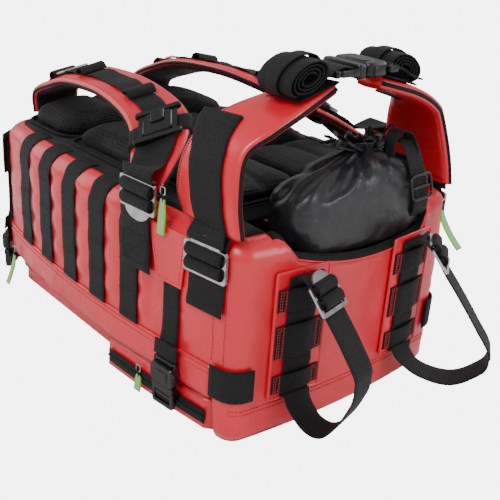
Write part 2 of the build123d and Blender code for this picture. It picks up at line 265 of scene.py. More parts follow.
@dataclass(frozen=True)
class Finish:
    """A finish: its material slot in the record, its colours and its gloss."""

    slot: str
    name: str
    light: Colour
    dark: Colour
    roughness: Pair = (0.4, 0.6)

    def nodes(self) -> Nodes:
        """Start the finish's material."""
        return Nodes(self.name)

    def close(self, nodes: Nodes, colour: bpy.types.NodeSocket, rough: bpy.types.NodeSocket,
              normal: bpy.types.NodeSocket) -> bpy.types.Material:
        """Join the three results to the shader and return the material."""
        nodes.put(nodes.shader, "Base Color", colour)
        nodes.put(nodes.shader, "Roughness", rough)
        nodes.put(nodes.shader, "Normal", normal)
        return nodes.material

    def material(self) -> bpy.types.Material:
        """Make the material: a moulded or cast surface with fine grain and faint wear."""
        nodes = self.nodes()
        place = nodes.place()
        patches = nodes.noise(place, 40.0, 4.0)
        grain = nodes.noise(place, 1400.0, 2.0)
        scuffs = nodes.noise(place, 160.0, 6.0, 1.5)
        colour = nodes.mix(nodes.spread(scuffs, 0.0, 1.0, 0.45, 0.72), self.dark, self.light)
        rough = nodes.spread(patches, *self.roughness)
        normal = nodes.bump(grain, 0.12, 0.0003, nodes.bump(patches, 0.05, 0.001))
        nodes.shader.inputs["Specular IOR Level"].default_value = 0.55
        return self.close(nodes, colour, rough, normal)


@dataclass(frozen=True)
class Tarpaulin(Finish):
    """Glossy coated tarpaulin with soft wrinkles, a faint woven base and lighter worn rises."""

    wrinkle: float = 0.35
    coat: float = 0.45

    def material(self) -> bpy.types.Material:
        """Make the material."""
        nodes = self.nodes()
        place = nodes.place()
        clouds = nodes.noise(place, 9.0, 3.0)
        creases = nodes.noise(place, 26.0, 5.0, 1.2)
        weave = nodes.add("ShaderNodeTexVoronoi", {"Vector": place, "Scale": 900.0}).outputs[0]
        colour = nodes.mix(nodes.spread(clouds, 0.0, 1.0), self.dark, self.light)
        fleck = nodes.spread(nodes.noise(place, 240.0, 4.0), 0.0, 0.12, 0.5, 0.8)
        colour = nodes.mix(fleck, colour, (0.9, 0.07, 0.09, 1.0))
        rough = nodes.spread(creases, *self.roughness)
        normal = nodes.bump(creases, self.wrinkle, 0.004)
        normal = nodes.bump(weave, 0.08, 0.0004, normal)
        nodes.shader.inputs["Coat Weight"].default_value = self.coat
        nodes.shader.inputs["Coat Roughness"].default_value = 0.22
        return self.close(nodes, colour, rough, normal)


@dataclass(frozen=True)
class Webbing(Finish):
    """Woven webbing with ribs across it, a fine warp along it and a sheen on its rises."""

    rib: float = 2.1
    warp: float = 1.3

    def material(self) -> bpy.types.Material:
        """Make the material."""
        nodes = self.nodes()
        vector, across, along = nodes.strap()
        turn = 2 * math.pi / MM
        slant = nodes.math("MULTIPLY_ADD", across, 0.35, along)
        ribs = nodes.math("SINE", nodes.math("MULTIPLY", slant, turn / self.rib))
        warp = nodes.math("SINE", nodes.math("MULTIPLY", across, turn / self.warp))
        height = nodes.math("MULTIPLY_ADD", ribs, 0.55, nodes.math("MULTIPLY", warp, 0.35))
        fuzz = nodes.noise(vector, 420.0, 4.0)
        height = nodes.math("MULTIPLY_ADD", fuzz, 0.8, height)
        tint = nodes.spread(height, 0.0, 1.0, -0.6, 1.3)
        colour = nodes.mix(tint, self.dark, self.light)
        rough = nodes.spread(fuzz, *self.roughness)
        nodes.shader.inputs["Specular IOR Level"].default_value = 0.28
        nodes.shader.inputs["Sheen Weight"].default_value = 0.03
        nodes.shader.inputs["Sheen Roughness"].default_value = 0.4
        return self.close(nodes, colour, rough, nodes.bump(height, 0.55, 0.0006))


@dataclass(frozen=True)
class SpacerMesh(Finish):
    """Padded spacer mesh: rows of small open cells over a dark foam."""

    cell: float = 3.4

    def material(self) -> bpy.types.Material:
        """Make the material."""
        nodes = self.nodes()
        place = nodes.place()
        scale = 1.0 / (self.cell * MM)
        cells = nodes.add("ShaderNodeTexVoronoi", {"Vector": place, "Scale": scale, "Randomness": 0.35})
        web = nodes.spread(cells.outputs[0], 1.0, 0.0, 0.22, 0.5)
        soft = nodes.noise(place, 30.0, 3.0)
        colour = nodes.mix(web, self.light, self.dark)
        rough = nodes.spread(soft, *self.roughness)
        normal = nodes.bump(cells.outputs[0], 0.75, 0.0016, nodes.bump(soft, 0.3, 0.003))
        nodes.shader.inputs["Specular IOR Level"].default_value = 0.3
        nodes.shader.inputs["Sheen Weight"].default_value = 0.04
        nodes.shader.inputs["Sheen Roughness"].default_value = 0.5
        return self.close(nodes, colour, rough, normal)


@dataclass(frozen=True)
class Nylon(Finish):
    """Thin coated nylon: crinkled, with a fine ripstop grid."""

    def material(self) -> bpy.types.Material:
        """Make the material."""
        nodes = self.nodes()
        place = nodes.place()
        crinkle = nodes.noise(place, 34.0, 6.0, 1.8)
        large = nodes.noise(place, 12.0, 4.0, 0.8)
        weave = nodes.add("ShaderNodeTexVoronoi", {"Vector": place, "Scale": 1100.0, "Randomness": 0.2})
        colour = nodes.mix(nodes.spread(crinkle, 0.0, 1.0), self.dark, self.light)
        rough = nodes.spread(large, *self.roughness)
        normal = nodes.bump(large, 0.6, 0.006, nodes.bump(crinkle, 0.45, 0.003))
        normal = nodes.bump(weave.outputs[0], 0.15, 0.0003, normal)
        nodes.shader.inputs["Coat Weight"].default_value = 0.2
        nodes.shader.inputs["Coat Roughness"].default_value = 0.3
        nodes.shader.inputs["Sheen Weight"].default_value = 0.03
        return self.close(nodes, colour, rough, normal)


@dataclass(frozen=True)
class PlatedSteel(Finish):
    """Polished plated steel with fine scratches and small tarnished patches."""

    def material(self) -> bpy.types.Material:
        """Make the material."""
        nodes = self.nodes()
        place = nodes.place()
        patches = nodes.noise(place, 90.0, 3.0)
        scratch = nodes.noise(place, 700.0, 6.0, 3.0)
        colour = nodes.mix(nodes.spread(patches, 0.0, 1.0), self.light, self.dark)
        rough = nodes.spread(scratch, *self.roughness)
        nodes.shader.inputs["Metallic"].default_value = 1.0
        return self.close(nodes, colour, rough, nodes.bump(scratch, 0.06, 0.0002))


@dataclass(frozen=True)
class StripedTape(Finish):
    """Bright coated tape with a silvery reflective stripe along its middle."""

    stripe: Colour = (0.42, 0.46, 0.44, 1.0)
    half_stripe: float = 2.2

    def material(self) -> bpy.types.Material:
        """Make the material."""
        nodes = self.nodes()
        vector, across, along = nodes.strap()
        middle = nodes.math("LESS_THAN", nodes.math("ABSOLUTE", across), self.half_stripe * MM)
        fuzz = nodes.noise(vector, 500.0, 3.0)
        base = nodes.mix(nodes.spread(fuzz, 0.0, 1.0), self.dark, self.light)
        colour = nodes.mix(middle, base, self.stripe)
        ribs = nodes.math("SINE", nodes.math("MULTIPLY", along, 2 * math.pi / (1.2 * MM)))
        rough = nodes.spread(fuzz, *self.roughness)
        nodes.shader.inputs["Sheen Weight"].default_value = 0.1
        return self.close(nodes, colour, rough, nodes.bump(ribs, 0.3, 0.0003))


TARP = Tarpaulin("red_tarpaulin", "red_tarpaulin", (0.9, 0.018, 0.042, 1), (0.74, 0.009, 0.022, 1), (0.26, 0.44))
# The same red tarpaulin with darker colours: painted shade for the far wing's inner face, which lies in shadow.
PAINTED_SHADE_TARP = Tarpaulin("red_tarpaulin", "inner_red_lining", (0.66, 0.01, 0.02, 1), (0.46, 0.006, 0.012, 1),
                   (0.35, 0.5), 0.5, 0.2)
WEB = Webbing("black_webbing", "black_webbing", (0.013, 0.013, 0.014, 1), (0.002, 0.002, 0.0022, 1), (0.5, 0.75))
PADDING = SpacerMesh("black_mesh", "black_spacer_mesh", (0.0012, 0.0012, 0.0014, 1), (0.010, 0.010, 0.0115, 1),
                     (0.6, 0.8))
BINDING = Webbing("black_webbing", "black_binding", (0.010, 0.010, 0.011, 1), (0.0025, 0.0025, 0.003, 1),
                  (0.55, 0.75), 1.2, 0.9)
STEEL = PlatedSteel("chrome_metal", "plated_steel", (0.66, 0.66, 0.67, 1), (0.42, 0.41, 0.39, 1), (0.12, 0.3))
MOULDED = Finish("black_plastic", "black_moulded", (0.012, 0.012, 0.013, 1), (0.004, 0.004, 0.0045, 1), (0.24, 0.4))
TAPE = Webbing("zipper_tape", "zipper_tape", (0.009, 0.009, 0.01, 1), (0.002, 0.002, 0.0025, 1), (0.55, 0.7), 1.0, 0.8)
COIL = Finish("zipper_tape", "zipper_coil", (0.03, 0.03, 0.032, 1), (0.008, 0.008, 0.009, 1), (0.3, 0.45))
SACKCLOTH = Nylon("black_nylon", "black_ripstop", (0.02, 0.021, 0.024, 1), (0.005, 0.0055, 0.0065, 1), (0.28, 0.46))
SHEETING = Finish("frame_plastic", "frame_sheeting", (0.16, 0.16, 0.16, 1), (0.1, 0.1, 0.1, 1), (0.5, 0.7))
LIME = StripedTape("lime_tag", "lime_tape", (0.28, 0.9, 0.03, 1), (0.18, 0.72, 0.015, 1), (0.4, 0.6))
RED_THREAD = Finish("red_tarpaulin", "red_thread", (0.75, 0.04, 0.05, 1), (0.55, 0.02, 0.03, 1), (0.5, 0.7))
BLACK_THREAD = Finish("black_webbing", "black_thread", (0.022, 0.022, 0.023, 1), (0.008, 0.008, 0.009, 1), (0.5, 0.7))


class Wardrobe:
    """Makes each finish's material once and dresses pieces in it."""

    def __init__(self) -> None:
        """Start with no materials."""
        self.made: dict[str, bpy.types.Material] = {}

    def material(self, finish: Finish) -> bpy.types.Material:
        """The finish's material."""
        if finish.name not in self.made:
            self.made[finish.name] = finish.material()
        return self.made[finish.name]

    def dress(self, obj: bpy.types.Object, finish: Finish, body: str,
              nodes: Iterable[str] = (), padded: float | None = None) -> bpy.types.Object:
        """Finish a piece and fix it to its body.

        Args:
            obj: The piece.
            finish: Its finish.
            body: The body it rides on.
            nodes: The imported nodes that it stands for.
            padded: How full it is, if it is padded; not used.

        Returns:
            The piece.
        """
        obj.data.materials.clear()
        obj.data.materials.append(self.material(finish))
        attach(obj, body)
        if nodes:
            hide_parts(*nodes)
        LOG.info("%s on %s, %d faces", obj.name, body, len(obj.data.polygons))
        return obj

    def repaint(self, obj: bpy.types.Object, finish: Finish) -> None:
        """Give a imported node's own object a better material."""
        obj.data.materials.clear()
        obj.data.materials.append(self.material(finish))


# --- Ribbons, tubes and plates ------------------------------------------------------------------


def curve_through(points: Sequence[Vector], steps: int) -> list[Vector]:
    """A smooth line through the points, with that many steps between each two."""
    line: list[Vector] = []
    last = len(points) - 1
    for i in range(last):
        before = points[i - 1] if i else points[0] * 2 - points[1]
        after = points[i + 2] if i + 2 <= last else points[last] * 2 - points[last - 1]
        a, b = points[i], points[i + 1]
        for k in range(steps):
            t = k / steps
            line.append(0.5 * ((2 * a) + (b - before) * t + (2 * before - 5 * a + 4 * b - after) * t ** 2
                               + (3 * a - before - 3 * b + after) * t ** 3))
    line.append(points[last].copy())
    return line


@dataclass
class Cut:
    """A place along a strap: its middle, its unit across and outward directions, width and distance."""

    middle: Vector
    across: Vector
    out: Vector
    width: float
    along: float

    def at(self, across: float, out: float) -> Vector:
        """The point at a distance across and out of this place."""
        return self.middle + self.across * across + self.out * out


def cuts_along(edges: Sequence[Edges], steps: int = 6) -> list[Cut]:
    """Smooth places along a strap given by its two edges, whose outer face is along x across."""
    first = curve_through([Vector(a) for a, _ in edges], steps)
    second = curve_through([Vector(b) for _, b in edges], steps)
    middles = [(a + b) / 2 for a, b in zip(first, second)]
    cuts: list[Cut] = []
    distance = 0.0
    for i, (a, b) in enumerate(zip(first, second)):
        tangent = middles[min(i + 1, len(middles) - 1)] - middles[max(i - 1, 0)]
        across = (b - a).normalized()
        out = tangent.cross(across).normalized()
        if i:
            distance += (middles[i] - middles[i - 1]).length
        cuts.append(Cut(middles[i], across, out, (b - a).length, distance))
    return cuts


def part_of(cuts: list[Cut], start: float, end: float) -> list[Cut]:
    """The stretch of places between two fractions of the whole."""
    last = len(cuts) - 1
    return cuts[round(start * last):round(end * last) + 1]


def moved(cuts: list[Cut], out: float, shift: float = 0.0, width: float | None = None,
          wave: float = 0.0) -> list[Cut]:
    """The places moved out of their face and across it, with another width or a slight wave."""
    result = []
    for cut in cuts:
        lift = out + wave * ripple(cut.middle, 26.0, 1.7)
        result.append(Cut(cut.at(shift, lift), cut.across, cut.out, width or cut.width, cut.along))
    return result


Section = Callable[[float], list[Pair]]


def flat_section(thick: float) -> Section:
    """A webbing's section: flat faces with rounded edges."""

    def section(width: float) -> list[Pair]:
        """The section's points for a width."""
        half, lift = width / 2, thick / 2
        top = [(half * t, lift) for t in (0.92, 0.6, 0.2, -0.2, -0.6, -0.92)]
        return [(half, 0.0)] + top + [(-half, 0.0)] + [(-x, -y) for x, y in top]

    return section


def crowned_section(thick: float, flat: float = 0.45, count: int = 12, edge: float = 0.22) -> Section:
    """A padded strap's section: crowned on both faces, less on the under face, pinched at its edges."""

    def section(width: float) -> list[Pair]:
        """The section's points for a width."""
        points = []
        for i in range(count + 1):
            t = math.pi * i / count
            swell = edge + (1 - edge) * math.sin(t) ** flat
            points.append((width / 2 * math.cos(t), thick / 2 * swell))
        under = [(x, -y * 0.8) for x, y in reversed(points)]
        return points + under

    return section


def sweep(cuts: list[Cut], section: Section, closed: bool = False) -> Shape:
    """A closed strap along its places.

    Args:
        cuts: The places along it.
        section: Its section for a width.
        closed: Whether its end joins its start, so that it needs no caps.

    Returns:
        The shape, with its texture map in millimetres across and along.
    """
    shape = Shape()
    for cut in cuts:
        ring = section(cut.width)
        shape.verts += [cut.at(x, y) for x, y in ring]
        shape.uvs += [(x, cut.along) for x, _ in ring]
    count = len(section(cuts[0].width))
    rings = len(cuts)
    for j in range(rings if closed else rings - 1):
        here, there = j * count, ((j + 1) % rings) * count
        for i in range(count):
            k = (i + 1) % count
            shape.faces.append([here + i, there + i, there + k, here + k])
    if not closed:
        shape.faces.append(list(range(count)))
        shape.faces.append([(rings - 1) * count + i for i in reversed(range(count))])
    return shape


def tube(points: Sequence[Vector], radius: float, sides: int = 8, steps: int = 6, closed: bool = False) -> Shape:
    """A round cord through the points."""
    line = curve_through(list(points), steps)
    cuts: list[Cut] = []
    across = Vector((0.31, 0.52, 0.8)).cross(line[1] - line[0]).normalized()
    distance = 0.0
    for i, middle in enumerate(line):
        tangent = (line[min(i + 1, len(line) - 1)] - line[max(i - 1, 0)]).normalized()
        across = (across - tangent * across.dot(tangent)).normalized()
        distance += (middle - line[i - 1]).length if i else 0.0
        cuts.append(Cut(middle, across, tangent.cross(across), 2 * radius, distance))
    turn = [2 * math.pi * i / sides for i in range(sides)]
    if closed:
        cuts.pop()
    return sweep(cuts, lambda width: [(radius * math.cos(t), radius * math.sin(t)) for t in turn], closed)


@dataclass
class Frame3:
    """A flat place in space: an origin, a direction along it, a direction up it and one out of it."""

    origin: Vector
    along: Vector
    up: Vector
    out: Vector

    def at(self, along: float, up: float, out: float) -> Vector:
        """The point at three distances."""
        return self.origin + self.along * along + self.up * up + self.out * out


def rounded(width: float, height: float, corner: float, middle: Pair = (0.0, 0.0), steps: int = 4) -> list[Pair]:
    """A rounded rectangle's outline."""
    points = []
    corners = ((1, 1, 0), (-1, 1, 90), (-1, -1, 180), (1, -1, 270))
    for sx, sy, start in corners:
        for i in range(steps + 1):
            turn = math.radians(start + 90 * i / steps)
            x = sx * (width / 2 - corner) + corner * math.cos(turn) + middle[0]
            points.append((x, sy * (height / 2 - corner) + corner * math.sin(turn) + middle[1]))
    return points


def plate(frame: Frame3, outline: Sequence[Pair], low: float, high: float, soft: float = 0.7) -> Shape:
    """A flat piece with softened edges, between two heights out of its place."""
    centre = (sum(p[0] for p in outline) / len(outline), sum(p[1] for p in outline) / len(outline))
    size = max(max(abs(p[0] - centre[0]), abs(p[1] - centre[1])) for p in outline)
    shrink = 1 - soft / size
    levels = [(low, shrink), (low + soft, 1.0), (high - soft, 1.0), (high, shrink)]
    shape = Shape()
    count = len(outline)
    for out, scale in levels:
        for x, y in outline:
            x, y = centre[0] + (x - centre[0]) * scale, centre[1] + (y - centre[1]) * scale
            shape.verts.append(frame.at(x, y, out))
            shape.uvs.append((x, y))
    flipped = frame.along.cross(frame.up).dot(frame.out) < 0
    for j in range(len(levels) - 1):
        for i in range(count):
            k = (i + 1) % count
            loop = [j * count + i, j * count + k, (j + 1) * count + k, (j + 1) * count + i]
            shape.faces.append(loop[::-1] if flipped else loop)
    bottom = list(range(count))[::-1]
    top = [3 * count + i for i in range(count)]
    shape.faces += [bottom[::-1], top[::-1]] if flipped else [bottom, top]
    return shape


def bar_frame(frame: Frame3, width: float, height: float, bar: float, out: float,
              bars: Sequence[float] = ()) -> Shape:
    """A rectangular wire frame, such as a slider, with cross bars at heights on it."""
    corner = min(width, height) * 0.22
    loop = [frame.at(x, y, out) for x, y in rounded(width, height, corner, steps=3)]
    shape = tube(loop + [loop[0]], bar / 2, 8, 2, closed=True)
    for y in bars:
        ends = [frame.at(-width / 2, y, out), frame.at(0, y, out), frame.at(width / 2, y, out)]
        shape.add(tube(ends, bar / 2, 8, 2))
    return shape


def ellipsoid(centre: Vector, radii: Vector, columns: int = 24, rows: int = 14) -> Shape:
    """A closed ball with its own three radii."""
    shape = Shape()
    for j in range(rows + 1):
        lat = math.pi * (j / rows - 0.5)
        for i in range(columns):
            lon = 2 * math.pi * i / columns
            ball = Vector((math.cos(lat) * math.cos(lon), math.cos(lat) * math.sin(lon), math.sin(lat)))
            shape.verts.append(centre + Vector((ball.x * radii.x, ball.y * radii.y, ball.z * radii.z)))
            shape.uvs.append((lon * radii.x, lat * radii.z))
    for j in range(rows):
        for i in range(columns):
            k = (i + 1) % columns
            shape.faces.append([j * columns + i, j * columns + k, (j + 1) * columns + k, (j + 1) * columns + i])
    return shape


# --- Stitches and coils, by Geometry Nodes ------------------------------------------------------


class Stitcher:
    """Lays short beads along lines: thread stitches, zip teeth and bar tacks."""

    def __init__(self, wardrobe: Wardrobe) -> None:
        """Build the node tree once."""
        self.wardrobe = wardrobe
        self.tree = self._tree()
        self.sockets = {item.name: item.identifier for item in self.tree.interface.items_tree
                        if item.in_out == "INPUT"}

    @staticmethod
    def _tree() -> bpy.types.NodeTree:
        """The tree: resample the line, put a bead on each point, realize and set the material."""
        tree = bpy.data.node_groups.new("bead_row", "GeometryNodeTree")
        face = tree.interface
        face.new_socket("Geometry", in_out="INPUT", socket_type="NodeSocketGeometry")
        for name, value in (("Pitch", 0.004), ("Length", 0.003), ("Radius", 0.0004)):
            face.new_socket(name, in_out="INPUT", socket_type="NodeSocketFloat").default_value = value
        face.new_socket("Material", in_out="INPUT", socket_type="NodeSocketMaterial")
        face.new_socket("Geometry", in_out="OUTPUT", socket_type="NodeSocketGeometry")
        new = tree.nodes.new
        start, end = new("NodeGroupInput"), new("NodeGroupOutput")
        resample = new("GeometryNodeResampleCurve")
        resample.mode = "LENGTH"
        bead = new("GeometryNodeMeshUVSphere")
        bead.inputs["Segments"].default_value = 6
        bead.inputs["Rings"].default_value = 4
        shape = new("ShaderNodeCombineXYZ")
        stretch = new("ShaderNodeMath")
        stretch.operation = "DIVIDE"
        half = new("ShaderNodeMath")
        half.operation = "MULTIPLY"
        half.inputs[1].default_value = 0.5
        tangent = new("GeometryNodeInputTangent")
        turn = new("FunctionNodeAlignRotationToVector")
        turn.axis = "Z"
        spots = new("GeometryNodeInstanceOnPoints")
        real = new("GeometryNodeRealizeInstances")
        paint = new("GeometryNodeSetMaterial")
        link = tree.links.new
        link(start.outputs["Geometry"], resample.inputs["Curve"])
        link(start.outputs["Pitch"], resample.inputs["Length"])
        link(start.outputs["Radius"], bead.inputs["Radius"])
        link(start.outputs["Length"], half.inputs[0])
        link(half.outputs[0], stretch.inputs[0])
        link(start.outputs["Radius"], stretch.inputs[1])
        shape.inputs[0].default_value = 1.0
        shape.inputs[1].default_value = 1.0
        link(stretch.outputs[0], shape.inputs[2])
        link(tangent.outputs[0], turn.inputs["Vector"])
        link(resample.outputs[0], spots.inputs["Points"])
        link(bead.outputs[0], spots.inputs["Instance"])
        link(turn.outputs[0], spots.inputs["Rotation"])
        link(shape.outputs[0], spots.inputs["Scale"])
        link(spots.outputs[0], real.inputs[0])
        link(real.outputs[0], paint.inputs["Geometry"])
        link(start.outputs["Material"], paint.inputs["Material"])
        link(paint.outputs[0], end.inputs[0])
        return tree

    def row(self, name: str, lines: Sequence[Sequence[Vector]], finish: Finish, body: str,
            pitch: float = 4.2, length: float = 3.2, radius: float = 0.55) -> bpy.types.Object:
        """Lay beads along lines, as one piece on one body.

        Args:
            name: The piece's name.
            lines: The lines, in millimetres.
            finish: The thread's or coil's finish.
            body: The body it rides on.
            pitch: The distance from one bead to the next.
            length: A bead's length.
            radius: A bead's radius.

        Returns:
            The piece.
        """
        curve = bpy.data.curves.new(name + "_line", "CURVE")
        curve.dimensions = "3D"
        for line in lines:
            spline = curve.splines.new("POLY")
            spline.points.add(len(line) - 1)
            for point, place in zip(spline.points, line):
                point.co = (*(place * MM), 1.0)
        guide = bpy.data.objects.new(name + "_line", curve)
        bpy.context.scene.collection.objects.link(guide)
        modifier = guide.modifiers.new("Beads", "NODES")
        modifier.node_group = self.tree
        for key, value in (("Pitch", pitch * MM), ("Length", length * MM), ("Radius", radius * MM)):
            modifier[self.sockets[key]] = value
        modifier[self.sockets["Material"]] = self.wardrobe.material(finish)
        graph = bpy.context.evaluated_depsgraph_get()
        graph.update()
        mesh = bpy.data.meshes.new_from_object(guide.evaluated_get(graph))
        bpy.data.objects.remove(guide)
        obj = bpy.data.objects.new(name, mesh)
        bpy.context.scene.collection.objects.link(obj)
        return self.wardrobe.dress(obj, finish, body)


# --- The bag ------------------------------------------------------------------------------------


def meeting(first: tuple[Vector, float], second: tuple[Vector, float], near: Vector) -> Vector:
    """The meeting point of two circles, given as centre and radius, that lies nearer the third place."""
    (a, ra), (b, rb) = first, second
    gap = b - a
    reach = (gap.length_squared + ra ** 2 - rb ** 2) / (2 * gap.length)
    rise = math.sqrt(max(ra ** 2 - reach ** 2, 0.0))
    unit = gap.normalized()
    turned = Vector((-unit.y, unit.x))
    spots = [a + unit * reach + turned * rise * sign for sign in (1, -1)]
    return min(spots, key=lambda spot: (spot - near).length)


@dataclass
class Outline:
    """The bag's outline from above: bowed sides and base end, straight head end, round corners."""

    half_length: float = 260.0
    half_width: float = 163.0
    side_bulge: float = 22.0
    base_bulge: float = 12.0
    head_corner: float = 45.0
    base_corner: float = 24.0
    step: float = 6.0

    @property
    def side_radius(self) -> float:
        """The radius of a long side."""
        return (self.half_length ** 2 + self.side_bulge ** 2) / (2 * self.side_bulge)

    @property
    def base_radius(self) -> float:
        """The radius of the base end."""
        return (self.half_width ** 2 + self.base_bulge ** 2) / (2 * self.base_bulge)

    def side_y(self, x: float) -> float:
        """How far the side wall stands from the middle at x."""
        top = self.half_width + self.side_bulge - self.side_radius
        return top + math.sqrt(self.side_radius ** 2 - x ** 2)

    def base_x(self, y: float) -> float:
        """How far along the base end's wall stands at y."""
        top = self.half_length + self.base_bulge - self.base_radius
        return top + math.sqrt(self.base_radius ** 2 - y ** 2)

    def side_frame(self, x: float, side: Side, up: float = 0.0) -> Frame3:
        """The wall's place at x: along it towards the base end, up it and out of it."""
        out = Vector((x, side.value * math.sqrt(self.side_radius ** 2 - x ** 2), 0)).normalized()
        along = Vector((abs(out.y), -out.x * side.value, 0)).normalized()
        return Frame3(Vector((x, side.value * self.side_y(x), up)), along, UP.copy(), out)

    def base_frame(self, y: float, up: float = 0.0) -> Frame3:
        """The base end's place at y: along it towards the far side, up it and out of it."""
        out = Vector((math.sqrt(self.base_radius ** 2 - y ** 2), y, 0)).normalized()
        return Frame3(Vector((self.base_x(y), y, up)), Vector((-out.y, out.x, 0)), UP.copy(), out)

    def corner_frame(self, side: Side) -> Frame3:
        """The middle of a head corner."""
        centre_x = self.head_corner - self.half_length
        reach = math.sqrt((self.side_radius - self.head_corner) ** 2 - centre_x ** 2)
        centre_y = self.half_width + self.side_bulge - self.side_radius + reach
        to_side = Vector((centre_x, side.value * reach, 0)).normalized()
        out = (to_side + Vector((-1, 0, 0))).normalized()
        origin = Vector((centre_x, side.value * centre_y, 0)) + out * self.head_corner
        return Frame3(origin, Vector((abs(out.y), -out.x * side.value, 0)), UP.copy(), out)

    def ring(self) -> list[tuple[Vector, Vector]]:
        """Places and outward directions all round, from the middle of the base end, near side first."""
        spots: list[tuple[Vector, Vector]] = []
        base = (Vector((self.half_length + self.base_bulge - self.base_radius, 0)), self.base_radius)
        side = (Vector((0, -(self.half_width + self.side_bulge - self.side_radius))), self.side_radius)
        inner_base = (base[0], base[1] - self.base_corner)
        inner_side = (side[0], side[1] - self.base_corner)
        base_centre = meeting(inner_base, inner_side, Vector((self.half_length, -self.half_width)))
        head_x = self.head_corner - self.half_length
        reach = math.sqrt((self.side_radius - self.head_corner) ** 2 - head_x ** 2)
        head_centre = Vector((head_x, side[0].y - reach))

        def arc(centre: Vector, radius: float, start: float, end: float) -> None:
            """Add an arc, clockwise from one direction to another, in radians."""
            count = max(4, round(abs(end - start) * radius / self.step))
            for i in range(count):
                turn = start + (end - start) * i / count
                out = Vector((math.cos(turn), math.sin(turn)))
                spots.append((centre + out * radius, out))

        to_corner = base_centre - base[0]
        from_side = base_centre - side[0]
        head_turn = head_centre - side[0]
        first = math.atan2(to_corner.y, to_corner.x)
        second = math.atan2(from_side.y, from_side.x)
        third = math.atan2(head_turn.y, head_turn.x)
        arc(base[0], base[1], 0.0, first)
        arc(base_centre, self.base_corner, first, second)
        arc(side[0], side[1], second, third)
        arc(head_centre, self.head_corner, third, -math.pi)
        end_y = head_centre.y
        count = round(abs(end_y) / self.step)
        for i in range(count):
            spots.append((Vector((-self.half_length, end_y * (1 - i / count))), Vector((-1, 0))))
        mirrored = [(Vector((p.x, -p.y)), Vector((n.x, -n.y))) for p, n in reversed(spots[1:])]
        middle = (Vector((-self.half_length, 0)), Vector((-1, 0)))
        return spots + [middle] + mirrored


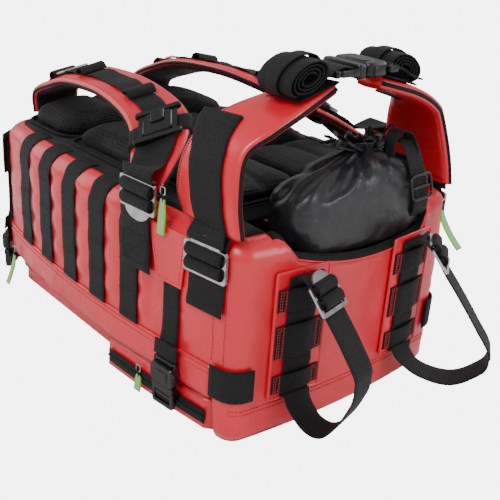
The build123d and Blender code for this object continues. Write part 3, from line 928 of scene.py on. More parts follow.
@dataclass
class Bag:
    """The red bag: walls, back, rain flap, zipper, lining, front panel and its pockets."""

    wardrobe: Wardrobe
    stitcher: Stitcher
    outline: Outline = field(default_factory=Outline)
    depth: float = 232.0
    edge: float = 22.0
    parting: float = 70.0
    skirt_x: float = 236.0
    mouth_x: float = 182.0
    mouth_half: float = 118.0
    mouth_low: float = 184.5
    mouth_end: float = 228.0
    flap: Pair = (50.0, 88.0)
    panel: Pair = (41.0, 68.0)
    inset: float = 7.0
    rows: int = 30
    strip_first: float = 96.0
    strip_pitch: float = 64.0

    def in_mouth(self, place: Vector) -> bool:
        """Whether the base pocket's mouth is above this place in the wall."""
        return place.x > self.mouth_x and abs(place.y) < self.mouth_half

    def lip(self, y: float) -> float:
        """The height of the mouth's lip at y: a shallow sag, stepped up at both ends."""
        sag = self.mouth_low + 0.0014 * (y - 30.0) ** 2
        return min(self.mouth_end, sag + max(0.0, -94.0 - y) + 2.2 * max(0.0, y - 104.0))

    def inset_at(self, z: float) -> float:
        """How far the rounded top edge has drawn in at z."""
        rise = z - (self.depth - self.edge)
        return 0.0 if rise <= 0 else self.edge - math.sqrt(max(self.edge ** 2 - rise ** 2, 0.0))

    def billow(self, place: Vector, z: float) -> float:
        """How far the cloth stands proud of its plain shape: puffs between the strips, and creases."""
        spot = Vector((place.x, place.y, z))
        wave = 1.6 * ripple(spot, 70.0) + 1.0 * ripple(Vector((spot.x, spot.y, spot.z * 2)), 24.0, 2.0)
        fade = min(1.0, max(0.0, (z - 92.0) / 20)) * min(1.0, max(0.0, (self.depth - z) / 25))
        if abs(place.y) > 150 and -190 < place.x < 128:
            beat = (place.x - self.strip_first) / self.strip_pitch * 2 * math.pi
            pinch = abs(math.sin(3 * math.pi * (z - 95) / 110))
            wave += (1 - math.cos(beat)) * (1.2 + 1.6 * pinch) - 1.2
        return wave * fade - 0.6

    def wall(self) -> None:
        """The side and end walls, down to the parting line or, at the base end, to the floor."""
        shape = Shape()
        ring = self.outline.ring()
        distance = 0.0
        for i, (place, out) in enumerate(ring):
            distance += (place - ring[i - 1][0]).length if i else 0.0
            foot = 0.0 if place.x > self.skirt_x else self.parting
            top = self.lip(place.y) if self.in_mouth(place) else self.depth
            bend = self.depth - self.edge
            for j in range(self.rows + 1):
                t = j / self.rows
                z = foot + (top - foot) * t
                if top > bend:
                    straight = 0.72
                    if t < straight:
                        z = foot + (bend - foot) * t / straight
                    else:
                        turn = (t - straight) / (1 - straight) * math.acos(1 - min(1.0, self.inset_at(top) / self.edge))
                        z = bend + self.edge * math.sin(turn)
                draw = self.inset_at(z) + (5.0 * (1 - min(1.0, z / 9)) ** 2 if foot == 0 else 0.0)
                reach = self.billow(place, z) - draw
                shape.verts.append(Vector((place.x + out.x * reach, place.y + out.y * reach, max(z, 0.2))))
                shape.uvs.append((distance, z))
        size = self.rows + 1
        for i in range(len(ring)):
            k = (i + 1) % len(ring)
            for j in range(self.rows):
                shape.faces.append([i * size + j, i * size + j + 1, k * size + j + 1, k * size + j])
        obj = shape.build("bag_wall")
        bm = bmesh.new()
        bm.from_mesh(obj.data)
        bmesh.ops.recalc_face_normals(bm, faces=bm.faces)
        probe = max(bm.faces, key=lambda f: f.calc_center_median().x)
        if probe.normal.x < 0:
            bmesh.ops.reverse_faces(bm, faces=bm.faces)
        bm.to_mesh(obj.data)
        bm.free()
        modified(obj, "SOLIDIFY", thickness=2.5 * MM, offset=-1.0)
        self.wardrobe.dress(obj, TARP, "pack", ["main_shell"])

    def back(self) -> None:
        """The flat back under the pads, open at the mouth, with a little crown."""
        ring = self.outline.ring()
        rim = [p - n * (self.edge + 1) for p, n in ring]
        kept = [i for i, (p, _) in enumerate(ring) if not self.in_mouth(p)]
        loop = [rim[i] for i in kept]
        corner = [Vector((self.mouth_x, -self.mouth_half)), Vector((self.mouth_x, self.mouth_half))]
        polygon = loop + [corner[1], corner[0]]
        bm = bmesh.new()
        face = bm.faces.new([bm.verts.new((p.x, p.y, 0)) for p in polygon])
        bmesh.ops.triangulate(bm, faces=[face])
        bmesh.ops.subdivide_edges(bm, edges=bm.edges, cuts=2, use_grid_fill=True)
        shape = Shape()
        bm.verts.ensure_lookup_table()
        for vert in bm.verts:
            shape.verts.append(Vector((vert.co.x, vert.co.y, self.depth - 1.0 + 0.6 * ripple(vert.co, 40.0))))
            shape.uvs.append((vert.co.x, vert.co.y))
        shape.faces = [[v.index for v in f.verts] for f in bm.faces]
        bm.free()
        obj = shape.build("back_panel")
        modified(obj, "SOLIDIFY", thickness=2.0 * MM, offset=-1.0)
        self.wardrobe.dress(obj, PADDING, "pack")

    def flaps(self) -> None:
        """The rain flap over the closing zipper, from one side round the head end to the other."""
        ring = [(p, n) for p, n in self.outline.ring() if p.x < self.skirt_x]
        low, high = self.flap
        shape = Shape()
        distance = 0.0
        levels = 8
        for i, (place, out) in enumerate(ring):
            distance += (place - ring[i - 1][0]).length if i else 0.0
            for j in range(levels + 1):
                z = low + (high - low) * j / levels
                spot = Vector((place.x, place.y, z))
                reach = 2.3 + (1 - j / levels) * 1.6 * ripple(spot, 34.0, 5.0) - 1.4 * (j == levels)
                shape.verts.append(Vector((place.x + out.x * reach, place.y + out.y * reach, z)))
                shape.uvs.append((distance, z))
        size = levels + 1
        for i in range(len(ring) - 1):
            for j in range(levels):
                shape.faces.append([i * size + j, (i + 1) * size + j, (i + 1) * size + j + 1, i * size + j + 1])
        obj = shape.build("rain_flap")
        obj.data.flip_normals()
        modified(obj, "SOLIDIFY", thickness=1.6 * MM, offset=-1.0)
        self.wardrobe.dress(obj, TARP, "pack", ["rain_flaps"])
        lines = []
        for z in (high - 3, high - 9):
            lines.append([Vector((p.x + n.x * 2.6, p.y + n.y * 2.6, z)) for p, n in ring])
        self.stitcher.row("flap_stitches", lines, RED_THREAD, "pack")

    def seams(self) -> None:
        """Double stitched seams down the base corners and along the foot of the base end."""
        ring = self.outline.ring()
        lines = []
        for side in Side:
            for x in (229.0, 245.0):
                frame = self.outline.side_frame(x, side)
                spots = [z for z in range(96, 204, 6)]
                lines.append([frame.at(0, z, self.billow(frame.origin, z) + 0.4) for z in spots])
        for level in (36.0, 41.0):
            foot = [(p, n) for p, n in ring if p.x > self.skirt_x + 14]
            foot.sort(key=lambda spot: spot[0].y)
            lines.append([Vector((p.x + n.x * -0.1, p.y + n.y * -0.1, level)) for p, n in foot])
        self.stitcher.row("bag_seams", lines, RED_THREAD, "pack")

    def mouth(self) -> None:
        """Zipper tape, coil and dark lining round the mouth of the base pocket."""
        count = 48
        lip = []
        for i in range(count + 1):
            y = -self.mouth_half + 2 * self.mouth_half * i / count
            z = self.lip(y)
            x = self.outline.base_x(y) - self.inset_at(z)
            lip.append(Vector((x, y, z)))
        edges = [(tuple(p + Vector((-1.6, 0, 0.6))), tuple(p + Vector((-11.0, 0, 4.6)))) for p in lip]
        shape = sweep(moved(cuts_along(edges, 1), 0.6, wave=0.3), flat_section(1.4))
        self.wardrobe.dress(shape.build("mouth_tape"), TAPE, "pack", ["zip_end_tabs"])
        coil = [p + Vector((-9.4, 0, 5.4)) for p in lip]
        self.stitcher.row("mouth_coil", [coil], COIL, "pack", 2.4, 1.6, 1.5)
        piping = [p + Vector((-0.9, 0, -0.2)) for p in lip]
        self.wardrobe.dress(tube(piping, 1.3, 6, 1).build("mouth_piping"), TARP, "pack")
        lining = Shape()
        depth = 22.0
        for p in lip:
            for drop, back in ((4, -10), (0, -12), (-10, -14), (-depth, -30), (-depth, -60)):
                lining.verts.append(Vector((p.x + back, p.y * (1 - 0.0015 * abs(back)), p.z + drop)))
                lining.uvs.append((p.y, drop))
        for i in range(count):
            for j in range(4):
                lining.faces.append([i * 5 + j, i * 5 + j + 1, (i + 1) * 5 + j + 1, (i + 1) * 5 + j])
        obj = lining.build("mouth_lining")
        modified(obj, "SOLIDIFY", thickness=1.0 * MM, offset=0.0)
        self.wardrobe.dress(obj, SACKCLOTH, "pack", ["base_pocket_liner"])
        sill = sweep(cuts_along([((self.mouth_x - 4, y, self.depth + 1.5), (self.mouth_x + 10, y, self.depth - 12))
                                 for y in (-117, -60, 0, 60, 117)], 6), flat_section(3.0))
        self.wardrobe.dress(sill.build("mouth_sill"), BINDING, "pack")

    def end_tabs(self) -> None:
        """The folded webbing tabs that cover the closing zipper's ends."""
        for side in Side:
            spots = [(p, n) for p, n in self.outline.ring() if self.skirt_x - 6 < p.x < 268 and p.y * side.value > 138]
            spots.sort(key=lambda spot: spot[0].x)
            edges = []
            for place, out in spots:
                reach = 3.0
                spot = Vector((place.x + out.x * reach, place.y + out.y * reach, 0))
                ends = (tuple(spot + UP * 53), tuple(spot + UP * 92))
                edges.append(ends if side is Side.NEAR else ends[::-1])
            shape = sweep(cuts_along(edges, 1), flat_section(2.6))
            obj = shape.build(f"zip_end_tab_{side.tag}", merge=0.01)
            self.wardrobe.dress(obj, WEB, "pack")

    def zipper(self) -> None:
        """The closing zipper's tape, inside the rain flap."""
        ring = [(p, n) for p, n in self.outline.ring() if p.x < self.skirt_x - 2]
        edges = [((p.x - n.x * 2.2, p.y - n.y * 2.2, 57.0), (p.x - n.x * 2.2, p.y - n.y * 2.2, 69.0)) for p, n in ring]
        shape = sweep(cuts_along(edges, 1), flat_section(1.0))
        self.wardrobe.dress(shape.build("closing_zipper", merge=0.01), TAPE, "pack", ["main_zipper"])
        coil = [Vector((p.x - n.x * 2.2, p.y - n.y * 2.2, 56.0)) for p, n in ring]
        self.stitcher.row("closing_coil", [coil], COIL, "pack", 2.6, 1.8, 1.4)

    def tray(self) -> None:
        """The clamshell front panel: a shallow tray just inside the rain flap."""
        low, high = self.panel
        limit = 251.5
        profile = [(30.0, low), (6.0, low), (1.0, low + 1.5), (0.0, low + 5), (0.4, (low + high) / 2), (0.0, high - 2),
                   (1.0, high), (3.4, high - 0.5), (3.8, low + 5), (8.0, low + 3.4), (30.0, low + 3.2)]
        shape = Shape()
        ring = self.outline.ring()
        for place, out in ring:
            for draw, z in profile:
                reach = self.inset + draw
                x = min(place.x - out.x * reach, limit)
                spot = Vector((x, place.y - out.y * reach, z))
                shape.verts.append(spot)
                shape.uvs.append((place.x + place.y, z))
        size = len(profile)
        for i in range(len(ring)):
            k = (i + 1) % len(ring)
            for j in range(size - 1):
                shape.faces.append([i * size + j, k * size + j, k * size + j + 1, i * size + j + 1])
        shape.faces.append([i * size for i in range(len(ring))])
        shape.faces.append([i * size + size - 1 for i in reversed(range(len(ring)))])
        obj = shape.build("front_tray", merge=0.02)
        self.wardrobe.dress(shade(obj), TARP, "front_panel", ["front_panel"])

    def pockets(self) -> None:
        """The two front pockets, their piping and zippers."""
        low, high = box_mm("front_pocket_upper")
        pouch = self.pouch(rounded(high.x - low.x - 3, high.y - low.y - 3, 30,
                                   ((low.x + high.x) / 2, 0.0), 8), low.z, high.z, 9.0)
        self.wardrobe.dress(pouch.build("upper_pocket", merge=0.02), TARP, "front_panel", ["front_pocket_upper"], 0.4)
        seam = [Vector((x, y, 27.0)) for x, y in rounded(high.x - low.x + 1, high.y - low.y + 1, 31,
                                                         ((low.x + high.x) / 2, 0.0), 8)]
        seam.append(seam[0])
        self.wardrobe.dress(tube(seam, 1.9, 8, 1).build("upper_pocket_piping"), BINDING, "front_panel")
        coil = [p + UP * 4.5 for p in seam]
        self.stitcher.row("upper_pocket_coil", [coil], COIL, "front_panel", 2.6, 1.8, 1.5)
        low, high = box_mm("front_pocket_lower")
        side = [(x, -self.outline.side_y(x) + 1.6) for x in range(round(low.x) + 8, round(high.x) - 6, 8)]
        loop = side + [(high.x - 2, -self.outline.side_y(high.x) + 9)]
        loop += [(x, -y) for x, y in reversed(loop)]
        loop = [(low.x + 2, -self.outline.side_y(low.x) + 9)] + loop + [(low.x + 2, self.outline.side_y(low.x) - 9)]
        pouch = self.pouch(loop, low.z, high.z, 8.0)
        self.wardrobe.dress(pouch.build("lower_pocket", merge=0.02), TARP, "front_panel", ["front_pocket_lower"], 0.4)
        for edge in (-1, 1):
            edges = [((x, edge * (self.outline.side_y(x) - 0.6), 12), (x, edge * (self.outline.side_y(x) - 0.6), 30))
                     for x in range(round(low.x) + 12, round(high.x) - 8, 12)]
            edges = edges if edge < 0 else [(b, a) for a, b in edges]
            tape = sweep(moved(cuts_along(edges, 2), 0.9), flat_section(1.2))
            self.wardrobe.dress(tape.build(f"lower_pocket_tape_{'near' if edge < 0 else 'far'}"), TAPE, "front_panel")
            line = [Vector((a[0], a[1] + edge * 1.9, 21)) for a, _ in edges]
            self.stitcher.row(f"lower_pocket_coil_{'near' if edge < 0 else 'far'}", [line], COIL, "front_panel",
                              2.6, 1.8, 1.5)

    @staticmethod
    def pouch(outline: Sequence[Pair], low: float, high: float, soft: float) -> Shape:
        """A stuffed pouch: its outline pulled in at its lower edge, with a slightly crowned lower face."""
        shape = Shape()
        middle = (sum(p[0] for p in outline) / len(outline), sum(p[1] for p in outline) / len(outline))
        levels = [(high, 0.0), (high - 4, -0.3), ((high + low) / 2, -0.8)]
        levels += [(low + soft * (1 - math.sin(t)), soft * (1 - math.cos(t)) - 0.8) for t in (0.4, 0.8, 1.2, 1.5708)]
        levels += [(low, soft + 14), (low, soft + 60)]
        for z, draw in levels:
            for x, y in outline:
                away = Vector((x - middle[0], y - middle[1], 0))
                spot = Vector((x, y, z)) - away.normalized() * draw
                crease = 0.9 * ripple(spot, 30.0, 4.0)
                spot -= away.normalized() * (crease + 0.9) if 0 < draw < soft or z > low + soft else Vector()
                shape.verts.append(spot)
                shape.uvs.append((x + y, z))
        count = len(outline)
        for j in range(len(levels) - 1):
            for i in range(count):
                k = (i + 1) % count
                shape.faces.append([j * count + k, j * count + i, (j + 1) * count + i, (j + 1) * count + k])
        shape.faces.append(list(range(count))[::-1][::-1])
        shape.faces.append([(len(levels) - 1) * count + i for i in reversed(range(count))])
        return shape

    def make(self) -> None:
        """Make every piece of the bag."""
        self.wall()
        self.back()
        self.flaps()
        self.seams()
        self.mouth()
        self.end_tabs()
        self.zipper()
        self.tray()
        self.pockets()
        self.wardrobe.repaint(bpy.data.objects["frame_sheet"], SHEETING)


@dataclass
class BackPads:
    """The padded mesh panels on the back, puffed by a cloth simulation and sewn with channels."""

    wardrobe: Wardrobe
    stitcher: Stitcher
    outline: Outline = field(default_factory=Outline)
    voxel: float = 5.0
    cap: float = 9.0
    frames: int = 20

    def pad(self, name: str, x: Pair, y: Pair, z: Pair, corner: float, nodes: Sequence[str],
            channels: Sequence[float] = ()) -> None:
        """One pad.

        Args:
            name: The piece's name.
            x: Its two ends.
            y: Its two sides.
            z: Its under face and its crown.
            corner: Its corners' radius.
            nodes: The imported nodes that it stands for.
            channels: Places across it where a channel is sewn.
        """
        middle = ((x[0] + x[1]) / 2, (y[0] + y[1]) / 2)
        outline = rounded(x[1] - x[0] - 6, y[1] - y[0] - 6, corner, middle, 8)
        shape = Shape()
        height = z[1] - z[0]
        levels = [(z[0] + 0.8, 0.0), (z[0] + height * 0.3, -1.0), (z[0] + height * 0.6, 1.0),
                  (z[0] + height * 0.8, 7.0), (z[0] + height * 0.86, 20.0)]
        count = len(outline)
        for level, draw in levels:
            for px, py in outline:
                away = Vector((px - middle[0], py - middle[1], 0))
                shape.verts.append(Vector((px, py, level)) - away.normalized() * draw)
        for j in range(len(levels) - 1):
            for i in range(count):
                k = (i + 1) % count
                shape.faces.append([j * count + i, j * count + k, (j + 1) * count + k, (j + 1) * count + i])
        shape.faces.append(list(range(count))[::-1])
        shape.faces.append([(len(levels) - 1) * count + i for i in range(count)])
        obj = shape.build(name)
        modified(obj, "REMESH", mode="VOXEL", voxel_size=self.voxel * MM, use_smooth_shade=True)
        self.puff(obj)
        modified(obj, "SMOOTH", factor=0.5, iterations=4)
        for vert in obj.data.vertices:
            place = vert.co / MM
            if place.z > z[0] + 3:
                dip = sum(math.exp(-((place.y - c) / 5.0) ** 2) for c in channels)
                edge = min(place.x - x[0], x[1] - place.x, place.y - y[0], y[1] - place.y)
                place.z -= 4.5 * dip * min(1.0, max(0.0, edge / 15))
            place.z = min(max(place.z, z[0]), z[1] + 6)
            vert.co = place * MM
        modified(obj, "SUBSURF", levels=1, render_levels=1)
        self.wardrobe.dress(obj, PADDING, "pack", nodes, 0.7)
        welt = [Vector((px, py, z[0] + 2.4)) for px, py in rounded(x[1] - x[0], y[1] - y[0], corner + 2, middle, 6)]
        welt.append(welt[0])
        self.wardrobe.dress(tube(welt, 2.3, 8, 1).build(name + "_binding"), BINDING, "pack")

    def puff(self, obj: bpy.types.Object) -> None:
        """Swell the pad under pressure, and cap how far each point may move."""
        start = [vert.co.copy() for vert in obj.data.vertices]
        cloth = obj.modifiers.new("Puff", "CLOTH")
        cloth.settings.use_pressure = True
        cloth.settings.uniform_pressure_force = 4.0
        cloth.settings.effector_weights.gravity = 0.0
        cloth.settings.quality = 4
        cloth.point_cache.frame_start = 1
        cloth.point_cache.frame_end = self.frames
        for frame in range(1, self.frames + 1):
            bpy.context.scene.frame_set(frame)
        baked(obj)
        bpy.context.scene.frame_set(1)
        for vert, first in zip(obj.data.vertices, start):
            step = vert.co - first
            if step.length > self.cap * MM:
                vert.co = first + step.normalized() * self.cap * MM

    def make(self) -> None:
        """Make the pads over the shoulder blades, the middle and the waist."""
        low, high = box_mm("back_pad_upper")
        self.pad("upper_pad", (low.x, high.x), (low.y, high.y), (low.z, high.z), 30, ["back_pad_upper"], (-46, 46))
        low, high = box_mm("back_pad_middle")
        self.pad("middle_pad", (low.x, high.x), (low.y, high.y), (low.z, high.z), 20, ["back_pad_middle"], (-48, 0, 48))
        low, high = box_mm("lumbar_pads")
        for side in Side:
            reach = (low.y, -4.0) if side is Side.NEAR else (4.0, high.y)
            nodes = ["lumbar_pads"] if side is Side.NEAR else []
            self.pad(f"lumbar_pad_{side.tag}", (low.x, high.x), reach, (low.z, high.z), 18, nodes,
                     (side.value * 60,))


@dataclass
class SideWebbing:
    """The webbing sewn to the sides: modular strips, gussets, anchors and strap tails."""

    wardrobe: Wardrobe
    stitcher: Stitcher
    outline: Outline = field(default_factory=Outline)
    strip_width: float = 33.0
    strip_first: float = 96.0
    strip_pitch: float = 64.0
    strips: int = 5
    load_width: float = 50.0
    tacks: tuple[float, ...] = (92.0, 124.0, 160.0, 196.0)

    def over_edge(self, x: float, side: Side, width: float, low: float, lift: float) -> list[Cut]:
        """A strap's places from the back, over the rounded edge and down the side."""
        frame = self.outline.side_frame(x, side)
        profile = [(-30, 233.5), (-24, 233.6), (-14, 231.4), (-6, 226.5), (-1.2, 218), (lift, 206)]
        profile += [(lift, z) for z in range(190, round(low), -16)] + [(lift, low)]
        half = width / 2 * -side.value
        edges = []
        for out, z in profile:
            pull = 0.7 * math.cos((z - self.tacks[0]) / 35.0 * 2 * math.pi)
            wide = half * (1 + 0.03 * pull)
            edges.append((tuple(frame.at(-wide * -1, z, out)), tuple(frame.at(-wide, z, out))))
        return cuts_along(edges, 4)

    def strip_rows(self) -> None:
        """The modular strips with their bar tacks."""
        for side in Side:
            shape = Shape()
            lines = []
            for i in range(self.strips):
                x = self.strip_first - i * self.strip_pitch
                cuts = self.over_edge(x, side, self.strip_width, 88.0, 2.6)
                shape.add(sweep(moved(cuts, 0.4, wave=1.2), flat_section(1.7)))
                frame = self.outline.side_frame(x, side)
                for z in self.tacks:
                    half = self.strip_width / 2 - 3
                    lines.append([frame.at(-half, z, 4.4), frame.at(0, z, 4.5), frame.at(half, z, 4.4)])
            nodes = ["molle_strips"] if side is Side.NEAR else []
            self.wardrobe.dress(shape.build(f"modular_strips_{side.tag}"), WEB, "pack", nodes)
            self.stitcher.row(f"strip_tacks_{side.tag}", lines, BLACK_THREAD, "pack", 2.4, 2.0, 0.5)

    def gussets(self) -> None:
        """Red gussets under the shoulder straps' ends."""
        for side in Side:
            frame = self.outline.side_frame(163, side)
            outline = [(-30, 222), (-16, 160), (22, 160), (29, 222)]
            shape = plate(frame, outline, 1.4, 3.6, 0.6)
            nodes = ["side_gussets"] if side is Side.NEAR else []
            self.wardrobe.dress(shape.build(f"gusset_{side.tag}", smooth=False), TARP, "pack", nodes)
            inner = [(-26, 219), (-13, 164), (19, 164), (25, 219)]
            line = [frame.at(x, z, 3.7) for x, z in inner]
            self.stitcher.row(f"gusset_stitches_{side.tag}", [line], RED_THREAD, "pack")

    def anchors(self) -> None:
        """The webbing that holds the shoulder and hip ladder locks."""
        for side in Side:
            half = self.load_width / 2 * side.value
            frame = self.outline.side_frame(113, side)
            places = [(252, 7.8), (240, 7.4), (228, 6.8), (205, 5.6), (180, 5.4), (164, 5.2), (160, 4.2)]
            edges = [(tuple(frame.at(half, z, out)), tuple(frame.at(-half, z, out))) for z, out in places]
            shape = sweep(cuts_along(edges, 4), flat_section(2.8))
            nodes = ["shoulder_anchors"] if side is Side.NEAR else []
            self.wardrobe.dress(shape.build(f"shoulder_anchor_{side.tag}"), WEB, "pack", nodes)
            box = [(-20, 168), (20, 168), (20, 200), (-20, 200), (-20, 168), (20, 200)]
            self.stitcher.row(f"anchor_stitches_{side.tag}", [[frame.at(x, z, 7.2) for x, z in box]],
                              BLACK_THREAD, "pack", 3.4, 2.6, 0.5)
            frame = self.outline.side_frame(219, side)
            places = [(236, -4), (230, -1.5), (222, 1.0), (205, 1.3), (185, 1.5), (165, 2.6), (156, 4.4), (150, 4.2)]
            edges = [(tuple(frame.at(half, z, out)), tuple(frame.at(-half, z, out))) for z, out in places]
            shape = sweep(cuts_along(edges, 4), flat_section(1.8))
            nodes = ["hip_strap_tails"] if side is Side.NEAR else []
            self.wardrobe.dress(shape.build(f"hip_tail_{side.tag}"), WEB, "pack", nodes)

    def make(self) -> None:
        """Make every sewn piece of the sides."""
        self.strip_rows()
        self.gussets()
        self.anchors()


@dataclass
class Closures:
    """The straps and side-release buckles that hold the clamshell shut."""

    wardrobe: Wardrobe
    stitcher: Stitcher
    outline: Outline = field(default_factory=Outline)
    strap_x: float = 170.0
    width: float = 25.0
    top: float = 72.0
    split: float = 42.0
    low: float = 14.0

    def socket(self, frame: Frame3) -> Shape:
        """The buckle's socket: a hollow-looking shell with side windows and a strap bar."""
        middle = (self.top + self.split) / 2
        shape = plate(frame, rounded(36, 24, 5, (0, middle - 3)), 4.2, 15.2, 1.6)
        for edge in (-1, 1):
            shape.add(plate(frame, rounded(5, 14, 1.5, (edge * 16.6, middle - 4)), 6.0, 13.4, 1.0))
        shape.add(plate(frame, rounded(20, 13, 3, (0, middle - 4)), 14.2, 16.2, 0.7))
        shape.add(plate(frame, rounded(34, 4, 1.8, (0, self.top - 2.2)), 5.0, 10.5, 1.0))
        for edge in (-1, 1):
            shape.add(plate(frame, rounded(4, 12, 1.5, (edge * 15, self.top - 6)), 5.0, 10.5, 1.0))
        return shape

    def plug(self, frame: Frame3) -> Shape:
        """The buckle's plug: a waisted plate with a slot and shoulders."""
        top = self.split - 0.4
        shape = plate(frame, rounded(34, 9, 2.5, (0, top - 4.8)), 5.6, 13.6, 1.2)
        for edge in (-1, 1):
            shape.add(plate(frame, rounded(4.5, 20, 1.8, (edge * 14.5, top - 15)), 6.2, 12.4, 1.0))
        shape.add(plate(frame, rounded(33, 5, 2.0, (0, self.low + 2.8)), 6.2, 12.4, 1.0))
        shape.add(plate(frame, rounded(31, 3.6, 1.5, (0, top - 14)), 7.0, 11.6, 1.0))
        return shape

    def strap(self, frame: Frame3, side: Side, top: float, fold: bool) -> Shape:
        """The strap with its keeper and, at a head corner, its sewn fold."""
        half = self.width / 2 * side.value
        places = [(top, 2.2), (top - 20, 2.4), (120, 2.8), (104, 3.4), (92, 6.0), (82, 7.2), (70, 8.4), (66, 8.6)]
        edges = [(tuple(frame.at(half, z, out)), tuple(frame.at(-half, z, out))) for z, out in places]
        shape = sweep(moved(cuts_along(edges, 4), 0.0, wave=0.5), flat_section(1.7))
        keeper = half * 1.45
        places = [(92, 7.9), (84, 8.8), (75, 9.6)]
        edges = [(tuple(frame.at(keeper, z, out)), tuple(frame.at(-keeper, z, out))) for z, out in places]
        shape.add(sweep(cuts_along(edges, 4), flat_section(2.0)))
        if fold:
            wide = half * 1.5
            places = [(215, 3.4), (206, 4.2), (180, 4.6), (160, 4.4)]
            edges = [(tuple(frame.at(wide, z, out)), tuple(frame.at(-wide, z, out))) for z, out in places]
            shape.add(sweep(cuts_along(edges, 4), flat_section(2.8)))
        return shape

    def make(self) -> None:
        """Make the four closures."""
        straps, sockets, plugs, slings = Shape(), Shape(), Shape(), Shape()
        for side in Side:
            places = ((self.outline.side_frame(self.strap_x, side), 162.0, False, -1.5),
                      (self.outline.corner_frame(side), 206.0, True, -17.0))
            for frame, top, fold, seat in places:
                straps.add(self.strap(frame, side, top, fold))
                sockets.add(self.socket(frame))
                plugs.add(self.plug(frame))
                half = self.width / 2 * side.value
                route = [(20.5, 9.4), (26, 9.8), (29, 7.0), (30, 2.0), (31, seat)]
                edges = [(tuple(frame.at(half, z, out)), tuple(frame.at(-half, z, out))) for z, out in route]
                slings.add(sweep(cuts_along(edges, 4), flat_section(1.8)))
        self.wardrobe.dress(straps.build("closing_webbing"), WEB, "pack", ["closing_straps"])
        self.wardrobe.dress(shade(sockets.build("buckle_sockets")), MOULDED, "pack", ["closing_sockets"])
        self.wardrobe.dress(shade(plugs.build("buckle_plugs")), MOULDED, "front_panel", ["closing_plugs"])
        self.wardrobe.dress(slings.build("plug_slings"), WEB, "front_panel")


def lock_rolls(frame: Frame3, width: float) -> Shape:
    """The webbing that goes over and under a ladder lock's bars: two tight rolls."""
    shape = Shape()
    for height in (8.2, -6.6):
        route = []
        for i in range(9):
            turn = math.pi * (i / 8 * 1.5 - 0.25)
            route.append((height + 6.4 * math.cos(turn), 1.2 + 4.8 * math.sin(turn)))
        half = width / 2
        edges = [(tuple(frame.at(half, up, out)), tuple(frame.at(-half, up, out))) for up, out in route]
        shape.add(sweep(cuts_along(edges, 2), flat_section(1.9)))
        shape.add(tube([frame.at(-half + 0.8, height, 1.4), frame.at(half - 0.8, height, 1.4)], 4.2, 12, 1))
    return shape


